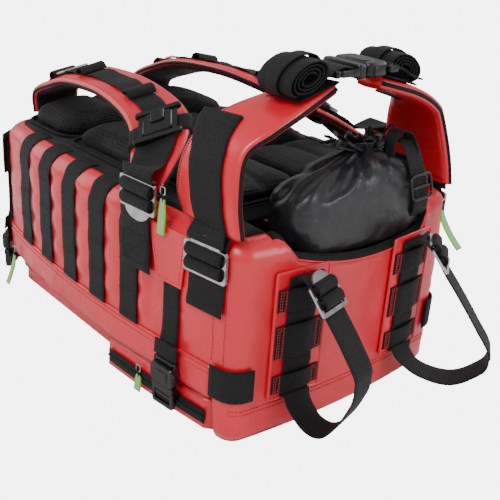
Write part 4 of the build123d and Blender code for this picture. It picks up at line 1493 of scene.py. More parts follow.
@dataclass
class BaseEnd:
    """The base end's strap patches and its two hanging loops with their ladder locks."""

    wardrobe: Wardrobe
    stitcher: Stitcher
    outline: Outline = field(default_factory=Outline)
    patch_y: float = 86.0
    width: float = 38.0
    near_loop: tuple[Pair, ...] = ((10, 192), (19, 190.5), (45, 157.5), (79, 112), (84, 92), (80, 68), (57, 25),
                                   (34, 20), (15, 38), (8.5, 52))
    far_loop: tuple[Pair, ...] = ((10, 194), (21, 192.5), (49, 156), (104, 78), (110, 60), (104, 42), (73, 21),
                                  (38, 23), (15, 40), (8.5, 54))
    near_swing: float = 15.0
    far_swing: float = 35.0

    def patch(self, side: Side) -> None:
        """A red patch with black bars, red box stitches and a strap threaded behind the bars."""
        frame = self.outline.base_frame(side.value * self.patch_y)
        red = plate(frame, rounded(70, 150, 3, (0, 122)), 0.8, 2.8, 0.6)
        rim = [frame.at(x, z, 2.6) for x, z in rounded(68, 148, 3, (0, 122))]
        red.add(tube(rim + [rim[0]], 1.4, 6, 1))
        nodes = ["strap_patches"] if side is Side.NEAR else []
        self.wardrobe.dress(shade(red.build(f"patch_{side.tag}")), TARP, "pack", nodes)
        black = Shape()
        lines = []
        for low, high in ((152, 178), (97, 136), (54, 77)):
            middle, half = (low + high) / 2, (high - low) / 2
            profile = [(-31, 3.6), (-22, 4.4), (-19, 5.6), (-10, 7.4), (0, 7.8), (10, 7.4), (19, 5.6), (22, 4.4), (31, 3.6)]
            edges = [(tuple(frame.at(x, middle + half, out)), tuple(frame.at(x, middle - half, out)))
                     for x, out in profile]
            black.add(sweep(moved(cuts_along(edges, 3), 0.3, wave=0.5), flat_section(1.8)))
            for sign in (-1, 1):
                for shrink in (1.5, 4.0):
                    x0, x1 = sign * (31 - shrink), sign * (21 + shrink * 0.4)
                    y0, y1 = middle - half + shrink, middle + half - shrink
                    box = [(x0, y0), (x1, y0), (x1, y1), (x0, y1), (x0, y0)]
                    lines.append([frame.at(x, y, 5.2) for x, y in box])
        half = self.width / 2
        places = [(190, 4.6), (180, 3.8), (165, 3.4), (145, 5.0), (136, 3.8), (115, 3.4), (97, 3.9), (86, 5.2), (77, 3.6),
                  (60, 3.4), (48, 4.4)]
        edges = [(tuple(frame.at(half, z, out)), tuple(frame.at(-half, z, out))) for z, out in places]
        black.add(sweep(cuts_along([(b, a) for a, b in edges], 3), flat_section(1.7)))
        nodes = ["strap_patch_webbing"] if side is Side.NEAR else []
        self.wardrobe.dress(black.build(f"patch_bars_{side.tag}"), WEB, "pack", nodes)
        self.stitcher.row(f"patch_stitches_{side.tag}", lines, RED_THREAD, "pack", 3.2, 2.4, 0.5)

    def loop_edges(self, side: Side) -> list[Edges]:
        """The edges of a hanging loop, which turns towards the far side as it leaves the wall."""
        root = self.outline.base_frame(side.value * self.patch_y)
        near = side is Side.NEAR
        edges = []
        for out, z in self.near_loop if near else self.far_loop:
            turn = math.radians(self.near_swing if near else self.far_swing) * min(1.0, max(0.0, out - 9) / 12)
            heading = Vector((math.cos(turn), math.sin(turn), 0))
            across = Vector((-math.sin(turn), math.cos(turn), 0)) * (self.width / 2)
            middle = root.origin + root.out * min(out, 9) + heading * max(out - 9, 0) + UP * z
            edges.append((tuple(middle + across), tuple(middle - across)))
        return edges

    def loop(self, side: Side) -> None:
        """A hanging loop, its ladder lock's material and the rolls over the lock's bars."""
        steps = 8
        cuts = cuts_along(self.loop_edges(side), steps)
        shape = sweep(moved(cuts, 0.0, wave=0.8), flat_section(2.0))
        body = f"loop_{side.tag}"
        obj = self.wardrobe.dress(shape.build(f"hanging_loop_{side.tag}"), WEB, body, [f"base_loop_{side.tag}"])
        place = steps * 3 // 2
        seat = cuts[place]
        ahead = (cuts[place + 1].middle - cuts[place - 1].middle).normalized()
        frame = Frame3(seat.middle - seat.out * 3.1, -seat.across, -ahead, -seat.out)
        self.wardrobe.dress(lock_rolls(frame, self.width - 2).build(f"loop_rolls_{side.tag}"), WEB, body)
        self.wardrobe.repaint(bpy.data.objects[f"base_lock_{side.tag}"], STEEL)

    def make(self) -> None:
        """Make both patches and loops."""
        for side in Side:
            self.patch(side)
            self.loop(side)


@dataclass
class ShoulderStraps:
    """The padded shoulder straps with everything sewn to them and their ladder locks."""

    wardrobe: Wardrobe
    stitcher: Stitcher
    outline: Outline = field(default_factory=Outline)
    thick: float = 16.0
    daisy_width: float = 30.0
    load_width: float = 50.0
    lock_x: float = 120.0
    lock_z: float = 246.0
    edges: tuple[Edges, ...] = (
        ((-258, -113, 236), (-258, -49, 238)),
        ((-252, -116, 264), (-252, -46, 272)),
        ((-205, -118, 284), (-207, -52, 296)),
        ((-155, -119, 298), (-155, -58, 311)),
        ((-73, -124, 304), (-65, -62, 317)),
        ((-4, -132, 296), (10, -68, 311)),
        ((34, -142, 282), (60, -80, 301)),
        ((58, -156, 260), (100, -112, 284)),
        ((78, -170, 242), (132, -166, 250)),
    )

    def pad(self, side: Side, cuts: list[Cut]) -> None:
        """The red padded strap with bound edges and a black mesh under face."""
        body = f"strap_{side.tag}"
        red = sweep(moved(cuts, 1.0, width=None), crowned_section(self.thick - 3)).mirrored(side)
        self.wardrobe.dress(red.build(f"strap_pad_{side.tag}"), TARP, body, [f"shoulder_pad_{side.tag}"], 0.7)
        under = [Cut(c.at(0, -3.6), c.across, c.out, c.width * 0.9, c.along) for c in cuts[1:-1]]
        mesh = sweep(under, crowned_section(self.thick * 0.55)).mirrored(side)
        self.wardrobe.dress(mesh.build(f"strap_lining_{side.tag}"), PADDING, body, padded=0.6)
        bound = Shape()
        for sign in (-1, 1):
            line = [c.at(sign * (c.width / 2 - 0.3), 0.2) for c in cuts]
            bound.add(tube(line, 2.0, 8, 1))
        self.wardrobe.dress(bound.mirrored(side).build(f"strap_binding_{side.tag}"), BINDING, body)
        lines = [[c.at(sign * (c.width / 2 - 5), self.thick * 0.38) for c in cuts[1:-1]] for sign in (-1, 1)]
        if side is Side.FAR:
            lines = [[Vector((p.x, -p.y, p.z)) for p in line] for line in lines]
        self.stitcher.row(f"strap_stitches_{side.tag}", lines, RED_THREAD, body)

    def daisy(self, side: Side, cuts: list[Cut]) -> None:
        """The webbing along the strap, with raised loops between its tacks, and the ring on it."""
        body = f"strap_{side.tag}"
        run = part_of(cuts, 0.06, 0.70)
        lift = self.thick / 2 - 0.9
        places = []
        for cut in run:
            beat = math.cos(2 * math.pi * cut.along / 62.0)
            places.append(Cut(cut.at(0, lift + 0.8 + max(0.0, beat) * 2.4), cut.across, cut.out, self.daisy_width,
                              cut.along))
        shape = sweep(places, flat_section(1.8))
        count = len(run)
        for fraction in (0.25, 0.52, 0.8):
            seat = run[round(count * fraction)]
            ahead = (run[round(count * fraction) + 1].middle - seat.middle).normalized()
            half = self.daisy_width / 2 + 3
            fold = [(-9, 2.2), (-6, 7.5), (0, 9.6), (6, 7.8), (9, 2.4)]
            edges = [(tuple(seat.at(-half, lift + up) + ahead * go), tuple(seat.at(half, lift + up) + ahead * go))
                     for go, up in fold]
            shape.add(sweep(cuts_along(edges, 4), flat_section(1.9)))
        self.wardrobe.dress(shape.mirrored(side).build(f"daisy_webbing_{side.tag}"), WEB, body)
        lines = []
        for cut in run[2::5]:
            half = self.daisy_width / 2 - 3
            lines.append([flipped(cut.at(t * half, lift + 1.8), side) for t in (-1, 0, 1)])
        self.stitcher.row(f"daisy_tacks_{side.tag}", lines, BLACK_THREAD, body, 2.4, 2.0, 0.5)
        seat = run[round(count * 0.36)]
        ahead = (run[round(count * 0.36) + 1].middle - seat.middle).normalized()
        frame = Frame3(seat.at(0, lift + 4.4), seat.across, ahead, seat.out)
        ring = bar_frame(frame, 40, 16, 3.2, 0.0).mirrored(side)
        self.wardrobe.dress(ring.build(f"strap_ring_{side.tag}", merge=0.01), STEEL, body,
                            [f"shoulder_ring_{side.tag}"])

    def release(self, side: Side, cuts: list[Cut]) -> None:
        """The quick-release buckle and the sternum band round the strap."""
        body = f"strap_{side.tag}"
        place = round((len(cuts) - 1) * 6.4 / 8)
        seat = cuts[place]
        ahead = (cuts[place + 1].middle - seat.middle).normalized()
        frame = Frame3(seat.at(0, self.thick / 2), seat.across, -ahead, seat.out)
        shape = plate(frame, rounded(54, 6, 2.5, (0, 22)), 5.0, 11.0, 1.2)
        shape.add(plate(frame, rounded(56, 7, 2.5, (0, -19)), 4.0, 10.0, 1.2))
        shape.add(plate(frame, rounded(34, 32, 5, (0, 2)), 3.4, 11.4, 1.4))
        for sign in (-1, 1):
            shape.add(plate(frame, rounded(6, 38, 2.5, (sign * 19.5, 2)), 3.6, 9.0, 1.2))
        shape.add(plate(frame, rounded(16, 18, 3, (0, 10)), 11.0, 14.2, 1.2))
        obj = shade(shape.mirrored(side).build(f"release_buckle_{side.tag}"))
        self.wardrobe.dress(obj, MOULDED, body, [f"shoulder_buckle_{side.tag}"])
        band = sweep([Cut(seat.middle + ahead * (7 * t), seat.across, seat.out, seat.width, 12.5 * t + 12.5)
                      for t in (-1.8, -0.9, 0, 0.9, 1.8)], self.loop_section(self.thick + 6)).mirrored(side)
        self.wardrobe.dress(band.build(f"sternum_loop_{side.tag}"), WEB, body, [f"sternum_band_{side.tag}"])

    def loop_section(self, thick: float) -> Section:
        """A band all round the strap: a flat oval, as wide as the strap and a little more."""

        def section(width: float) -> list[Pair]:
            """The section's points."""
            points = []
            for i in range(24):
                turn = 2 * math.pi * i / 24
                c, s = math.cos(turn), math.sin(turn)
                points.append(((width / 2 + 2.5) * math.copysign(abs(c) ** 0.6, c),
                               thick / 2 * math.copysign(abs(s) ** 0.45, s)))
            return points

        return section

    def adjuster(self, side: Side, cuts: list[Cut]) -> None:
        """The load webbing from the release buckle through the ladder lock."""
        lock = self.outline.side_frame(self.lock_x, Side.NEAR)
        last = len(cuts) - 1
        lift = self.thick / 2 + 3.4
        edges = []
        for place in (6.75, 7.2, 7.6):
            cut = cuts[round(last * place / 8)]
            half = self.load_width / 2 - 1
            edges.append((tuple(cut.at(-half, lift)), tuple(cut.at(half, lift))))
        half = self.load_width / 2
        for z, out in ((276, 8.6), (264, 8.2), (259, 8.0)):
            edges.append((tuple(lock.at(-half, z, out)), tuple(lock.at(half, z, out))))
        shape = sweep(cuts_along(edges, 6), flat_section(2.0)).mirrored(side)
        obj = shape.build(f"load_webbing_{side.tag}")
        obj.data.materials.append(self.wardrobe.material(WEB))
        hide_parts(f"shoulder_webbing_{side.tag}")
        f"strap_{side.tag}"
        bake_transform(obj)
        LOG.info("%s blends pack and strap", obj.name)
        frame = self.outline.side_frame(self.lock_x, side, self.lock_z)
        frame.origin = frame.at(0, 0, 7.9)
        turned = Frame3(frame.origin, frame.along * -side.value, frame.up, frame.out)
        rolls = lock_rolls(turned, self.load_width - 1)
        body = f"shoulder_lock_{side.tag}"
        self.wardrobe.dress(rolls.build(f"shoulder_rolls_{side.tag}"), WEB, body)
        self.wardrobe.repaint(bpy.data.objects[f"shoulder_lock_{side.tag}"], STEEL)

    def make(self) -> None:
        """Make both straps."""
        for side in Side:
            cuts = cuts_along(self.edges, 8)
            self.pad(side, cuts)
            self.daisy(side, cuts)
            self.release(side, cuts)
            self.adjuster(side, cuts)


def flipped(place: Vector, side: Side) -> Vector:
    """A near-side place on the side asked for."""
    return Vector((place.x, place.y * -side.value, place.z))


@dataclass
class HipBelt:
    """The two padded wings of the hip belt with their webbing, rolled ends, buckle and locks."""

    wardrobe: Wardrobe
    stitcher: Stitcher
    outline: Outline = field(default_factory=Outline)
    thick: float = 15.0
    load_width: float = 50.0
    lock_x: float = 219.0
    lock_z: float = 205.0
    edges: tuple[Edges, ...] = (
        ((258, -160, 238), (168, -160, 238)),
        ((250, -159, 272), (154, -160, 262)),
        ((242, -148, 314), (157, -154, 300)),
        ((250, -122, 334), (172, -136, 332)),
        ((252, -84, 352), (188, -88, 352)),
        ((240, -34, 366), (206, -34, 364)),
    )
    lanes: tuple[float, ...] = (0.43, 0.43, 0.52, 0.8, 1.05, 1.2)

    def wing(self, side: Side, cuts: list[Cut]) -> None:
        """The wing: red outside; inside, black mesh on the near wing and red tarpaulin painted darker as shade on the
        far wing; piped edges and a zipper on its leading edge.
        """
        body = f"wing_{side.tag}"
        red = sweep(cuts, crowned_section(self.thick, 0.4)).mirrored(side)
        self.wardrobe.dress(red.build(f"wing_{side.tag}"), TARP, body, [f"hip_wing_{side.tag}"], 0.6)
        inner = [Cut(c.at(0, -3.2), c.across, c.out, c.width * 0.9, c.along) for c in cuts[1:-1]]
        # The far wing's inner face: red tarpaulin painted darker, as painted shade.
        finish = PADDING if side is Side.NEAR else PAINTED_SHADE_TARP
        lining = sweep(inner, crowned_section(self.thick * 0.6)).mirrored(side)
        self.wardrobe.dress(lining.build(f"wing_lining_{side.tag}"), finish, body, padded=0.5)
        piped = Shape()
        for sign in (-1, 1):
            line = [c.at(sign * (c.width / 2 - 0.2), 0.4) for c in cuts]
            piped.add(tube(line, 2.2, 8, 1))
        self.wardrobe.dress(piped.mirrored(side).build(f"wing_piping_{side.tag}"), BINDING, body)
        teeth = [flipped(c.at(c.width / 2 - 5.5, self.thick * 0.36), side) for c in cuts[2:-10]]
        self.stitcher.row(f"wing_coil_{side.tag}", [teeth], COIL, body, 2.6, 1.8, 1.5)
        lines = [[flipped(c.at(-c.width / 2 + 6, self.thick * 0.36), side) for c in cuts[1:-10]]]
        self.stitcher.row(f"wing_stitches_{side.tag}", lines, RED_THREAD, body)

    def webbing(self, side: Side, cuts: list[Cut]) -> None:
        """The belt webbing up the outside of the wing."""
        steps = (len(cuts) - 1) // (len(self.edges) - 1)
        places = []
        for i, cut in enumerate(cuts):
            spot = min(i / steps, len(self.lanes) - 1.001)
            k = int(spot)
            lane = self.lanes[k] + (self.lanes[k + 1] - self.lanes[k]) * (spot - k)
            shift = (lane - 0.5) * cut.width
            width = min(self.load_width, cut.width + 14)
            lift = self.thick / 2 + 1.6
            places.append(Cut(cut.at(shift, lift), cut.across, cut.out, width, cut.along))
        last = round(3.3 * steps)
        tail = [Cut(c.at(8, -self.thick - 2), c.across, c.out, c.width, c.along) for c in places[last:last + 1]]
        shape = sweep(moved(places[:last] + tail, 0.2, wave=0.6), flat_section(2.0)).mirrored(side)
        belt = [Cut(c.at(0, self.thick / 2 + 1.4), c.across, c.out, min(self.load_width, c.width + 12), c.along)
                for c in cuts[4 * steps:]]
        shape.add(sweep(belt, flat_section(2.0)).mirrored(side))
        body = f"wing_{side.tag}"
        self.wardrobe.dress(shape.build(f"belt_webbing_{side.tag}"), WEB, body, [f"hip_webbing_{side.tag}"])
        lock = self.outline.side_frame(self.lock_x, side)
        half = self.load_width / 2 * side.value
        first = places[1]
        top = flipped(first.middle, side)
        route = [(225, 6.6), (231, 6.0)]
        edges = [(tuple(lock.at(half, z, out)), tuple(lock.at(-half, z, out))) for z, out in route]
        reach = first.across * (first.width / 2)
        reach = Vector((reach.x, reach.y * -side.value, reach.z))
        ends = (tuple(top - reach), tuple(top + reach))
        edges.append(ends if side is Side.FAR else ends)
        if (Vector(edges[0][0]) - Vector(edges[2][0])).length > (Vector(edges[0][0]) - Vector(edges[2][1])).length:
            edges[2] = (edges[2][1], edges[2][0])
        stub = sweep(cuts_along(edges, 5), flat_section(2.0))
        obj = stub.build(f"belt_stub_{side.tag}", merge=0.01)
        obj.data.materials.append(self.wardrobe.material(WEB))
        near_lock, near_wing = lock.at(0, 226, 6), top
        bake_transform(obj)
        frame = self.outline.side_frame(self.lock_x, side, self.lock_z)
        frame.origin = frame.at(0, 0, 4.7)
        turned = Frame3(frame.origin, frame.along * -side.value, frame.up, frame.out)
        self.wardrobe.dress(lock_rolls(turned, self.load_width - 1).build(f"hip_rolls_{side.tag}"), WEB,
                            f"hip_lock_{side.tag}")
        self.wardrobe.repaint(bpy.data.objects[f"hip_lock_{side.tag}"], STEEL)

    def roll(self, side: Side) -> None:
        """The spare webbing, rolled up flat and held by its own band."""
        low, high = box_mm(f"hip_strap_roll_{side.tag}")
        centre = (low + high) / 2 + Vector((3, 4, -3) if side is Side.NEAR else (-8, -9, -9))
        turns = 3.6
        tilt = math.radians(-20 * side.value)
        route = []
        steps = 90
        for i in range(steps + 1):
            t = i / steps
            turn = 2 * math.pi * turns * t
            size = 0.3 + 0.7 * t
            y, z = 27 * size * math.cos(turn), 15.5 * size * math.sin(turn)
            route.append(Vector((0, y * math.cos(tilt) - z * math.sin(tilt), y * math.sin(tilt) + z * math.cos(tilt))))
        half = self.load_width / 2 - 0.5
        edges = [(tuple(centre + p - Vector((half, 0, 0))), tuple(centre + p + Vector((half, 0, 0)))) for p in route]
        shape = sweep(cuts_along(edges, 1), flat_section(2.2))
        body = f"wing_{side.tag}"
        band = [Vector((0, 30 * math.cos(a) * math.cos(tilt) - 18 * math.sin(a) * math.sin(tilt),
                        30 * math.cos(a) * math.sin(tilt) + 18 * math.sin(a) * math.cos(tilt)))
                for a in (2 * math.pi * i / 24 for i in range(25))]
        edges = [(tuple(centre + p - Vector((8, 0, 0))), tuple(centre + p + Vector((8, 0, 0)))) for p in band]
        shape.add(sweep(cuts_along(edges, 1), flat_section(1.8)))
        lane = [Vector((0, side.value * y, z)) for y, z in ((44, 383), (60, 380), (78, 371), (95, 366))]
        edges = [(tuple(Vector((222 - half, 0, 0)) + p), tuple(Vector((222 + half, 0, 0)) + p)) for p in lane]
        shape.add(sweep(cuts_along(edges, 4), flat_section(2.2)))
        self.wardrobe.dress(shape.build(f"webbing_roll_{side.tag}"), WEB, body, [f"hip_strap_roll_{side.tag}"])

    def buckle(self) -> None:
        """The two halves of the belt's side-release buckle, face to face."""
        frame = Frame3(Vector((222, 0, 383)), Vector((1, 0, 0)), Vector((0, 1, 0)), UP.copy())
        socket = plate(frame, rounded(54, 30, 7, (0, 17)), -7.5, 7.5, 2.2)
        socket.add(plate(frame, rounded(30, 18, 5, (0, 15)), 6.5, 8.4, 0.8))
        for sign in (-1, 1):
            socket.add(plate(frame, rounded(7, 14, 2, (sign * 25.5, 39)), -3.5, 3.5, 1.2))
            socket.add(plate(frame, rounded(6, 16, 2, (sign * 26, 16)), -5, 5, 1.5))
        socket.add(plate(frame, rounded(56, 6, 2.5, (0, 43.5)), -3.5, 3.5, 1.2))
        self.wardrobe.dress(shade(socket.build("belt_buckle_socket")), MOULDED, "wing_far", ["hip_buckle_socket"])
        plug = plate(frame, rounded(54, 11, 3, (0, -7)), -7.0, 7.0, 2.0)
        for sign in (-1, 1):
            plug.add(plate(frame, rounded(8, 26, 2, (sign * 23, -24)), -3.5, 3.5, 1.2))
        plug.add(plate(frame, rounded(54, 6, 2.5, (0, -20)), -3.5, 3.5, 1.2))
        plug.add(plate(frame, rounded(56, 6, 2.5, (0, -42)), -3.5, 3.5, 1.2))
        self.wardrobe.dress(shade(plug.build("belt_buckle_plug")), MOULDED, "wing_near", ["hip_buckle_plug"])
        sling = Shape()
        edges = [((198, y, z), (246, y, z)) for y, z in ((-19, 387), (-30, 389), (-43, 386), (-56, 380), (-70, 372))]
        sling.add(sweep(cuts_along(edges, 4), flat_section(2.2)))
        self.wardrobe.dress(sling.build("belt_buckle_sling"), WEB, "wing_near")

    def make(self) -> None:
        """Make both wings and what they carry."""
        for side in Side:
            cuts = cuts_along(self.edges, 8)
            self.wing(side, cuts)
            self.webbing(side, cuts)
            self.roll(side)
        self.buckle()


@dataclass
class CoverSack:
    """The rain cover in its drawcord sack, with cord lock, cords, strap and slider."""

    wardrobe: Wardrobe
    stitcher: Stitcher
    centre: Point = (229.0, 22.0, 234.0)
    radii: Point = (46.0, 110.0, 54.0)
    neck: Point = (224.0, 34.0, 296.0)
    floor: float = 186.0
    front: float = 266.0

    def pouch(self) -> None:
        """The stuffed sack, drawn together at its neck in deep folds."""
        shape = Shape()
        columns, rows = 120, 60
        centre, neck = Vector(self.centre), Vector(self.neck)
        for j in range(rows + 1):
            lat = math.pi * (j / rows - 0.5)
            high = max(0.0, math.sin(lat))
            for i in range(columns):
                lon = 2 * math.pi * i / columns
                ball = Vector((math.cos(lat) * math.cos(lon), math.cos(lat) * math.sin(lon), math.sin(lat)))
                ball = Vector([math.copysign(abs(v) ** 0.82, v) for v in ball])
                spot = centre + Vector([ball[k] * self.radii[k] for k in range(3)])
                fold = math.sin(lon * 11 + 2.2 * ripple(spot, 40.0)) * high ** 2 * (1 - high) * 14
                crush = 6.0 * ripple(spot, 46.0, 1.0) + 2.6 * ripple(spot, 17.0, 6.0)
                crush -= 7.0 * max(0.0, 1 - 5 * abs(ripple(spot, 38.0, 9.0))) * (0.3 + high)
                spot += ball.normalized() * (crush + fold)
                pull = high ** 5
                spot = spot.lerp(Vector((neck.x, neck.y, neck.z - 14 * (1 - high))), pull * 0.82)
                spot.z = max(spot.z, self.floor + 0.25 * abs(spot.y - 10) * 0.5)
                reach = spot.x - (self.front - 12.0)
                spot.x -= max(0.0, reach) - 14.0 * (1 - math.exp(-max(0.0, reach) / 14.0))
                shape.verts.append(spot)
        for j in range(rows):
            for i in range(columns):
                k = (i + 1) % columns
                shape.faces.append([j * columns + i, j * columns + k, (j + 1) * columns + k, (j + 1) * columns + i])
        obj = shape.build("cover_sack", merge=0.02)
        self.wardrobe.dress(obj, SACKCLOTH, "sack", ["rain_cover_sack"], 0.6)

    def ruff(self) -> None:
        """The open hem above the neck: a pleated frill."""
        neck = Vector(self.neck)
        shape = Shape()
        columns, rows = 96, 8
        for j in range(rows + 1):
            t = j / rows
            for i in range(columns):
                lon = 2 * math.pi * i / columns
                pleat = 1 + 0.26 * math.sin(lon * 12 + 1.5 * t) * (0.35 + t)
                reach = (9 + 15 * t ** 0.8) * pleat
                lean = Vector((-6, -16, 0)) * t
                rise = 16 * t - 6 * t * abs(math.sin(lon * 5))
                spot = neck + lean + Vector((reach * math.cos(lon) * 0.75, reach * math.sin(lon) * 1.15, rise - 6))
                shape.verts.append(spot)
                shape.uvs.append((lon * 10, t * 20))
        for j in range(rows):
            for i in range(columns):
                k = (i + 1) % columns
                shape.faces.append([j * columns + i, j * columns + k, (j + 1) * columns + k, (j + 1) * columns + i])
        obj = shape.build("sack_ruff")
        modified(obj, "SOLIDIFY", thickness=0.9 * MM, offset=0.0)
        self.wardrobe.dress(obj, SACKCLOTH, "sack")

    def fittings(self) -> None:
        """Cord lock, two standing cord loops, a webbing loop, the strap and its slider."""
        low, high = box_mm("cord_lock_body")
        seat = Vector(((low.x + high.x) / 2, (low.y + high.y) / 2, low.z))
        ridges = Shape()
        for i in range(4):
            ring = [seat + Vector((8.2 * math.cos(a), 8.2 * math.sin(a), 3 + 3.6 * i))
                    for a in (2 * math.pi * k / 20 for k in range(21))]
            ridges.add(tube(ring, 0.9, 6, 1, closed=True))
        self.wardrobe.dress(ridges.build("cord_lock_ridges", merge=0.01), MOULDED, "sack")
        for node in ("cord_lock_body", "cord_lock_button"):
            self.wardrobe.repaint(bpy.data.objects[node], MOULDED)
        for name, x, y, lean in (("front", 0, -8, -10), ("back", 3, 7, 9)):
            route = [(x - 4, y - 3, 4), (x - 6, y + lean * 0.3, 20), (x, y + lean, 33), (x + 6, y + lean * 0.6, 22),
                     (x + 4, y + 3, 4)]
            line = curve_through([seat + Vector(p) for p in route], 8)
            obj = tube(line, 1.3, 8, 1).build(f"drawcord_loop_{name}")
            self.wardrobe.dress(obj, BINDING, "sack")
        hem = [Vector(self.neck) + Vector((9.5 * math.cos(a), 14 * math.sin(a), -7))
               for a in (2 * math.pi * i / 24 for i in range(25))]
        cords = tube(hem, 1.4, 8, 1, closed=True)
        tie = [seat + Vector((-2, -4, 2)), seat + Vector((-3, -12, -2)), Vector(self.neck) + Vector((8, 12, -8))]
        cords.add(tube(tie, 1.3, 8, 6))
        self.wardrobe.dress(cords.build("sack_drawcord"), BINDING, "sack")
        strap = Shape()
        half = 13.0
        route = [(236, 84, 300), (246, 86, 297), (253, 88, 284), (262, 90, 262), (267, 92, 244), (268, 94, 226),
                 (262, 96, 214)]
        edges = [((x, y - half, z), (x, y + half, z)) for x, y, z in route]
        strap.add(sweep(moved(cuts_along([(a, b) for a, b in edges], 5), 0.0, wave=0.8), flat_section(1.8)))
        route = [(240, 60, 284), (236, 66, 300), (236, 76, 309), (240, 88, 306), (244, 94, 292), (246, 96, 276)]
        edges = [((x - half + 4, y, z), (x + half - 4, y, z)) for x, y, z in route]
        strap.add(sweep(cuts_along(edges, 5), flat_section(1.8)))
        self.wardrobe.dress(strap.build("sack_strap"), WEB, "sack")
        frame = Frame3(Vector((266, 91, 250)), Vector((0, 1, 0.05)).normalized(), Vector((-0.3, 0, 1)).normalized(),
                       Vector((1, 0, 0.3)).normalized())
        slider = bar_frame(frame, 34, 26, 3.4, 2.6, (0.0,))
        self.wardrobe.dress(slider.build("sack_slider"), MOULDED, "sack")

    def make(self) -> None:
        """Make the sack and its fittings."""
        self.pouch()
        self.ruff()
        self.fittings()


@dataclass
class Pulls:
    """The zip pulls: folded lime tapes on cords, with metal sliders."""

    wardrobe: Wardrobe
    outline: Outline = field(default_factory=Outline)
    width: float = 11.0

    def tag(self, name: str, node: str, body: str, frame: Frame3, top: float, length: float, kick: float) -> None:
        """A pull that hangs from a place.

        Args:
            name: The piece's name.
            node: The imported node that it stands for.
            body: The body it rides on.
            frame: The wall's place, from the floor up.
            top: The height that it hangs from.
            length: Its length.
            kick: How far its end stands out.
        """
        half = self.width / 2
        route = []
        for i in range(9):
            t = i / 8
            route.append((top - 10 - (length - 10) * t, 1.2 + kick * t ** 1.6))
        edges = [(tuple(frame.at(-half * (0.55 + 0.45 * min(1, 3 * t / 8)), z, out)),
                  tuple(frame.at(half * (0.55 + 0.45 * min(1, 3 * t / 8)), z, out)))
                 for t, (z, out) in enumerate(route)]
        if frame.along.cross(frame.up).dot(frame.out) > 0:
            edges = [(b, a) for a, b in edges]
        shape = sweep(cuts_along(edges, 3), flat_section(2.0))
        self.wardrobe.dress(shape.build(name), LIME, body, [node])
        cord = tube([frame.at(0, top + 2, 1.5), frame.at(-1.5, top - 3, 1.8), frame.at(1.0, top - 8, 1.6),
                     frame.at(0, top - 13, 1.4)], 1.1, 8, 6)
        self.wardrobe.dress(cord.build(name + "_cord"), BINDING, body)
        ring = bar_frame(Frame3(frame.at(0, top - 1, 1.4), frame.along, frame.up, frame.out), 7, 8, 1.4, 0.0)
        self.wardrobe.dress(ring.build(name + "_ring", merge=0.01), STEEL, body)

    def make(self) -> None:
        """Make the five pulls."""
        def lifted(frame: Frame3, out: float) -> Frame3:
            """The frame moved out of its wall."""
            return Frame3(frame.at(0, 0, out), frame.along, frame.up, frame.out)

        self.tag("base_zip_pull", "pull_base", "base_pull", lifted(self.outline.base_frame(131), 7), 226, 50, 30)
        self.tag("front_zip_pull", "pull_front", "front_pull",
                 lifted(self.outline.side_frame(118, Side.NEAR), 2), 34, 30, 2)
        self.tag("main_zip_pull", "pull_main", "main_pull",
                 lifted(self.outline.side_frame(-205, Side.NEAR), 6.5), 60, 52, 12)
        for side in Side:
            self.tag(f"wing_zip_pull_{side.tag}", f"pull_wing_{side.tag}", f"wing_pull_{side.tag}",
                     lifted(self.outline.side_frame(157, side), 4.5), 262, 48, 2)


@dataclass
class Handle:
    """The grab handle on the head end: folded webbing, sewn at both ends."""

    wardrobe: Wardrobe
    stitcher: Stitcher
    x: float = -263.0
    width: float = 24.0

    def make(self) -> None:
        """Make the handle."""
        route = [(-59, 207), (-53, 201), (-45, 191), (-33, 185), (0, 183.5), (33, 185), (45, 191), (53, 201), (59, 207)]
        places = [Vector((self.x, y, z)) for y, z in route]
        edges = []
        for i, place in enumerate(places):
            ahead = (places[min(i + 1, len(places) - 1)] - places[max(i - 1, 0)]).normalized()
            across = Vector((-1, 0, 0)).cross(ahead).normalized() * (self.width / 2)
            edges.append((tuple(place - across), tuple(place + across)))
        shape = sweep(cuts_along(edges, 5), flat_section(3.2))
        self.wardrobe.dress(shape.build("carry_handle"), WEB, "handle", ["grab_handle"])


# --- Stage --------------------------------------------------------------------------------------


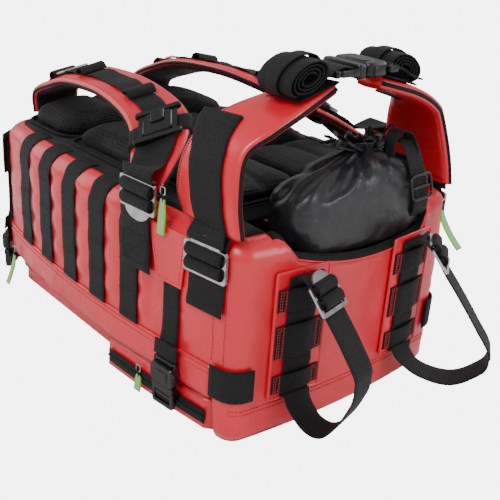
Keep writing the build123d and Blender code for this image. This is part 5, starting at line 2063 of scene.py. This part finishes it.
@dataclass
class Studio:
    """Pale floor, soft lights and the camera."""

    eye: Point = (0.7931, -0.6300, 0.5436)
    right: Point = (0.6449, 0.7616, 0.0639)
    up: Point = (-0.3466, 0.2169, 0.9126)
    back: Point = (0.6812, -0.6107, 0.4038)
    lens: float = 58.93
    floor_glow: float = 7.0

    def camera(self) -> None:
        """The camera, at the object's three-quarter view from the base end's near corner."""
        data = bpy.data.cameras.new("camera")
        data.lens = self.lens
        data.sensor_width = 36.0
        data.clip_end = 50.0
        obj = bpy.data.objects.new("camera", data)
        columns = Matrix((self.right, self.up, self.back)).transposed()
        obj.matrix_world = Matrix.Translation(self.eye) @ columns.to_4x4()
        bpy.context.scene.collection.objects.link(obj)
        bpy.context.scene.camera = obj

    def light(self, name: str, place: Point, size: float, power: float) -> None:
        """A square soft light that looks at the middle of the pack."""
        data = bpy.data.lights.new(name, "AREA")
        data.size = size
        data.energy = power
        obj = bpy.data.objects.new(name, data)
        aim = Vector((0.05, 0.0, 0.15)) - Vector(place)
        obj.matrix_world = Matrix.Translation(place) @ aim.to_track_quat("-Z", "Y").to_matrix().to_4x4()
        bpy.context.scene.collection.objects.link(obj)

    def floor(self) -> None:
        """A wide pale floor."""
        mesh = bpy.data.meshes.new("floor")
        reach = 12.0
        mesh.from_pydata([(-reach, -reach, 0), (reach, -reach, 0), (reach, reach, 0), (-reach, reach, 0)], [],
                         [(0, 1, 2, 3)])
        obj = bpy.data.objects.new("floor", mesh)
        material = bpy.data.materials.new("floor")
        material.use_nodes = True
        shader = material.node_tree.nodes["Principled BSDF"]
        shader.inputs["Base Color"].default_value = (0.9, 0.9, 0.9, 1)
        shader.inputs["Roughness"].default_value = 0.9
        tree = material.node_tree
        glow = tree.nodes.new("ShaderNodeEmission")
        glow.inputs["Strength"].default_value = self.floor_glow
        ray = tree.nodes.new("ShaderNodeLightPath")
        share = tree.nodes.new("ShaderNodeMath")
        share.operation = "MULTIPLY"
        share.inputs[1].default_value = 0.8
        blend = tree.nodes.new("ShaderNodeMixShader")
        tree.links.new(ray.outputs["Is Camera Ray"], share.inputs[0])
        tree.links.new(share.outputs[0], blend.inputs[0])
        tree.links.new(shader.outputs[0], blend.inputs[1])
        tree.links.new(glow.outputs[0], blend.inputs[2])
        tree.links.new(blend.outputs[0], tree.nodes["Material Output"].inputs["Surface"])
        mesh.materials.append(material)
        bpy.context.scene.collection.objects.link(obj)

    def make(self) -> None:
        """Set the stage."""
        self.camera()
        self.floor()
        self.light("key", (0.6, -2.0, 2.4), 1.2, 42.0)
        self.light("fill", (-2.0, -1.0, 1.2), 1.6, 12.0)
        self.light("back", (-0.2, 2.2, 2.0), 1.6, 22.0)
        self.light("end", (2.4, 0.9, 1.1), 1.0, 17.0)
        world = bpy.data.worlds.new("studio")
        world.use_nodes = True
        world.node_tree.nodes["Background"].inputs[0].default_value = (1.0, 1.0, 1.0, 1)
        world.node_tree.nodes["Background"].inputs[1].default_value = 0.5
        bpy.context.scene.world = world


def main() -> None:
    """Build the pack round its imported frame."""
    logging.basicConfig(level=logging.INFO, format="%(name)s: %(message)s")
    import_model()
    studio = Studio()
    studio.make()
    wardrobe = Wardrobe()
    stitcher = Stitcher(wardrobe)
    Bag(wardrobe, stitcher).make()
    BackPads(wardrobe, stitcher).make()
    SideWebbing(wardrobe, stitcher).make()
    Closures(wardrobe, stitcher).make()
    BaseEnd(wardrobe, stitcher).make()
    ShoulderStraps(wardrobe, stitcher).make()
    HipBelt(wardrobe, stitcher).make()
    CoverSack(wardrobe, stitcher).make()
    Pulls(wardrobe).make()
    Handle(wardrobe, stitcher).make()


if __name__ == "__main__":
    main()
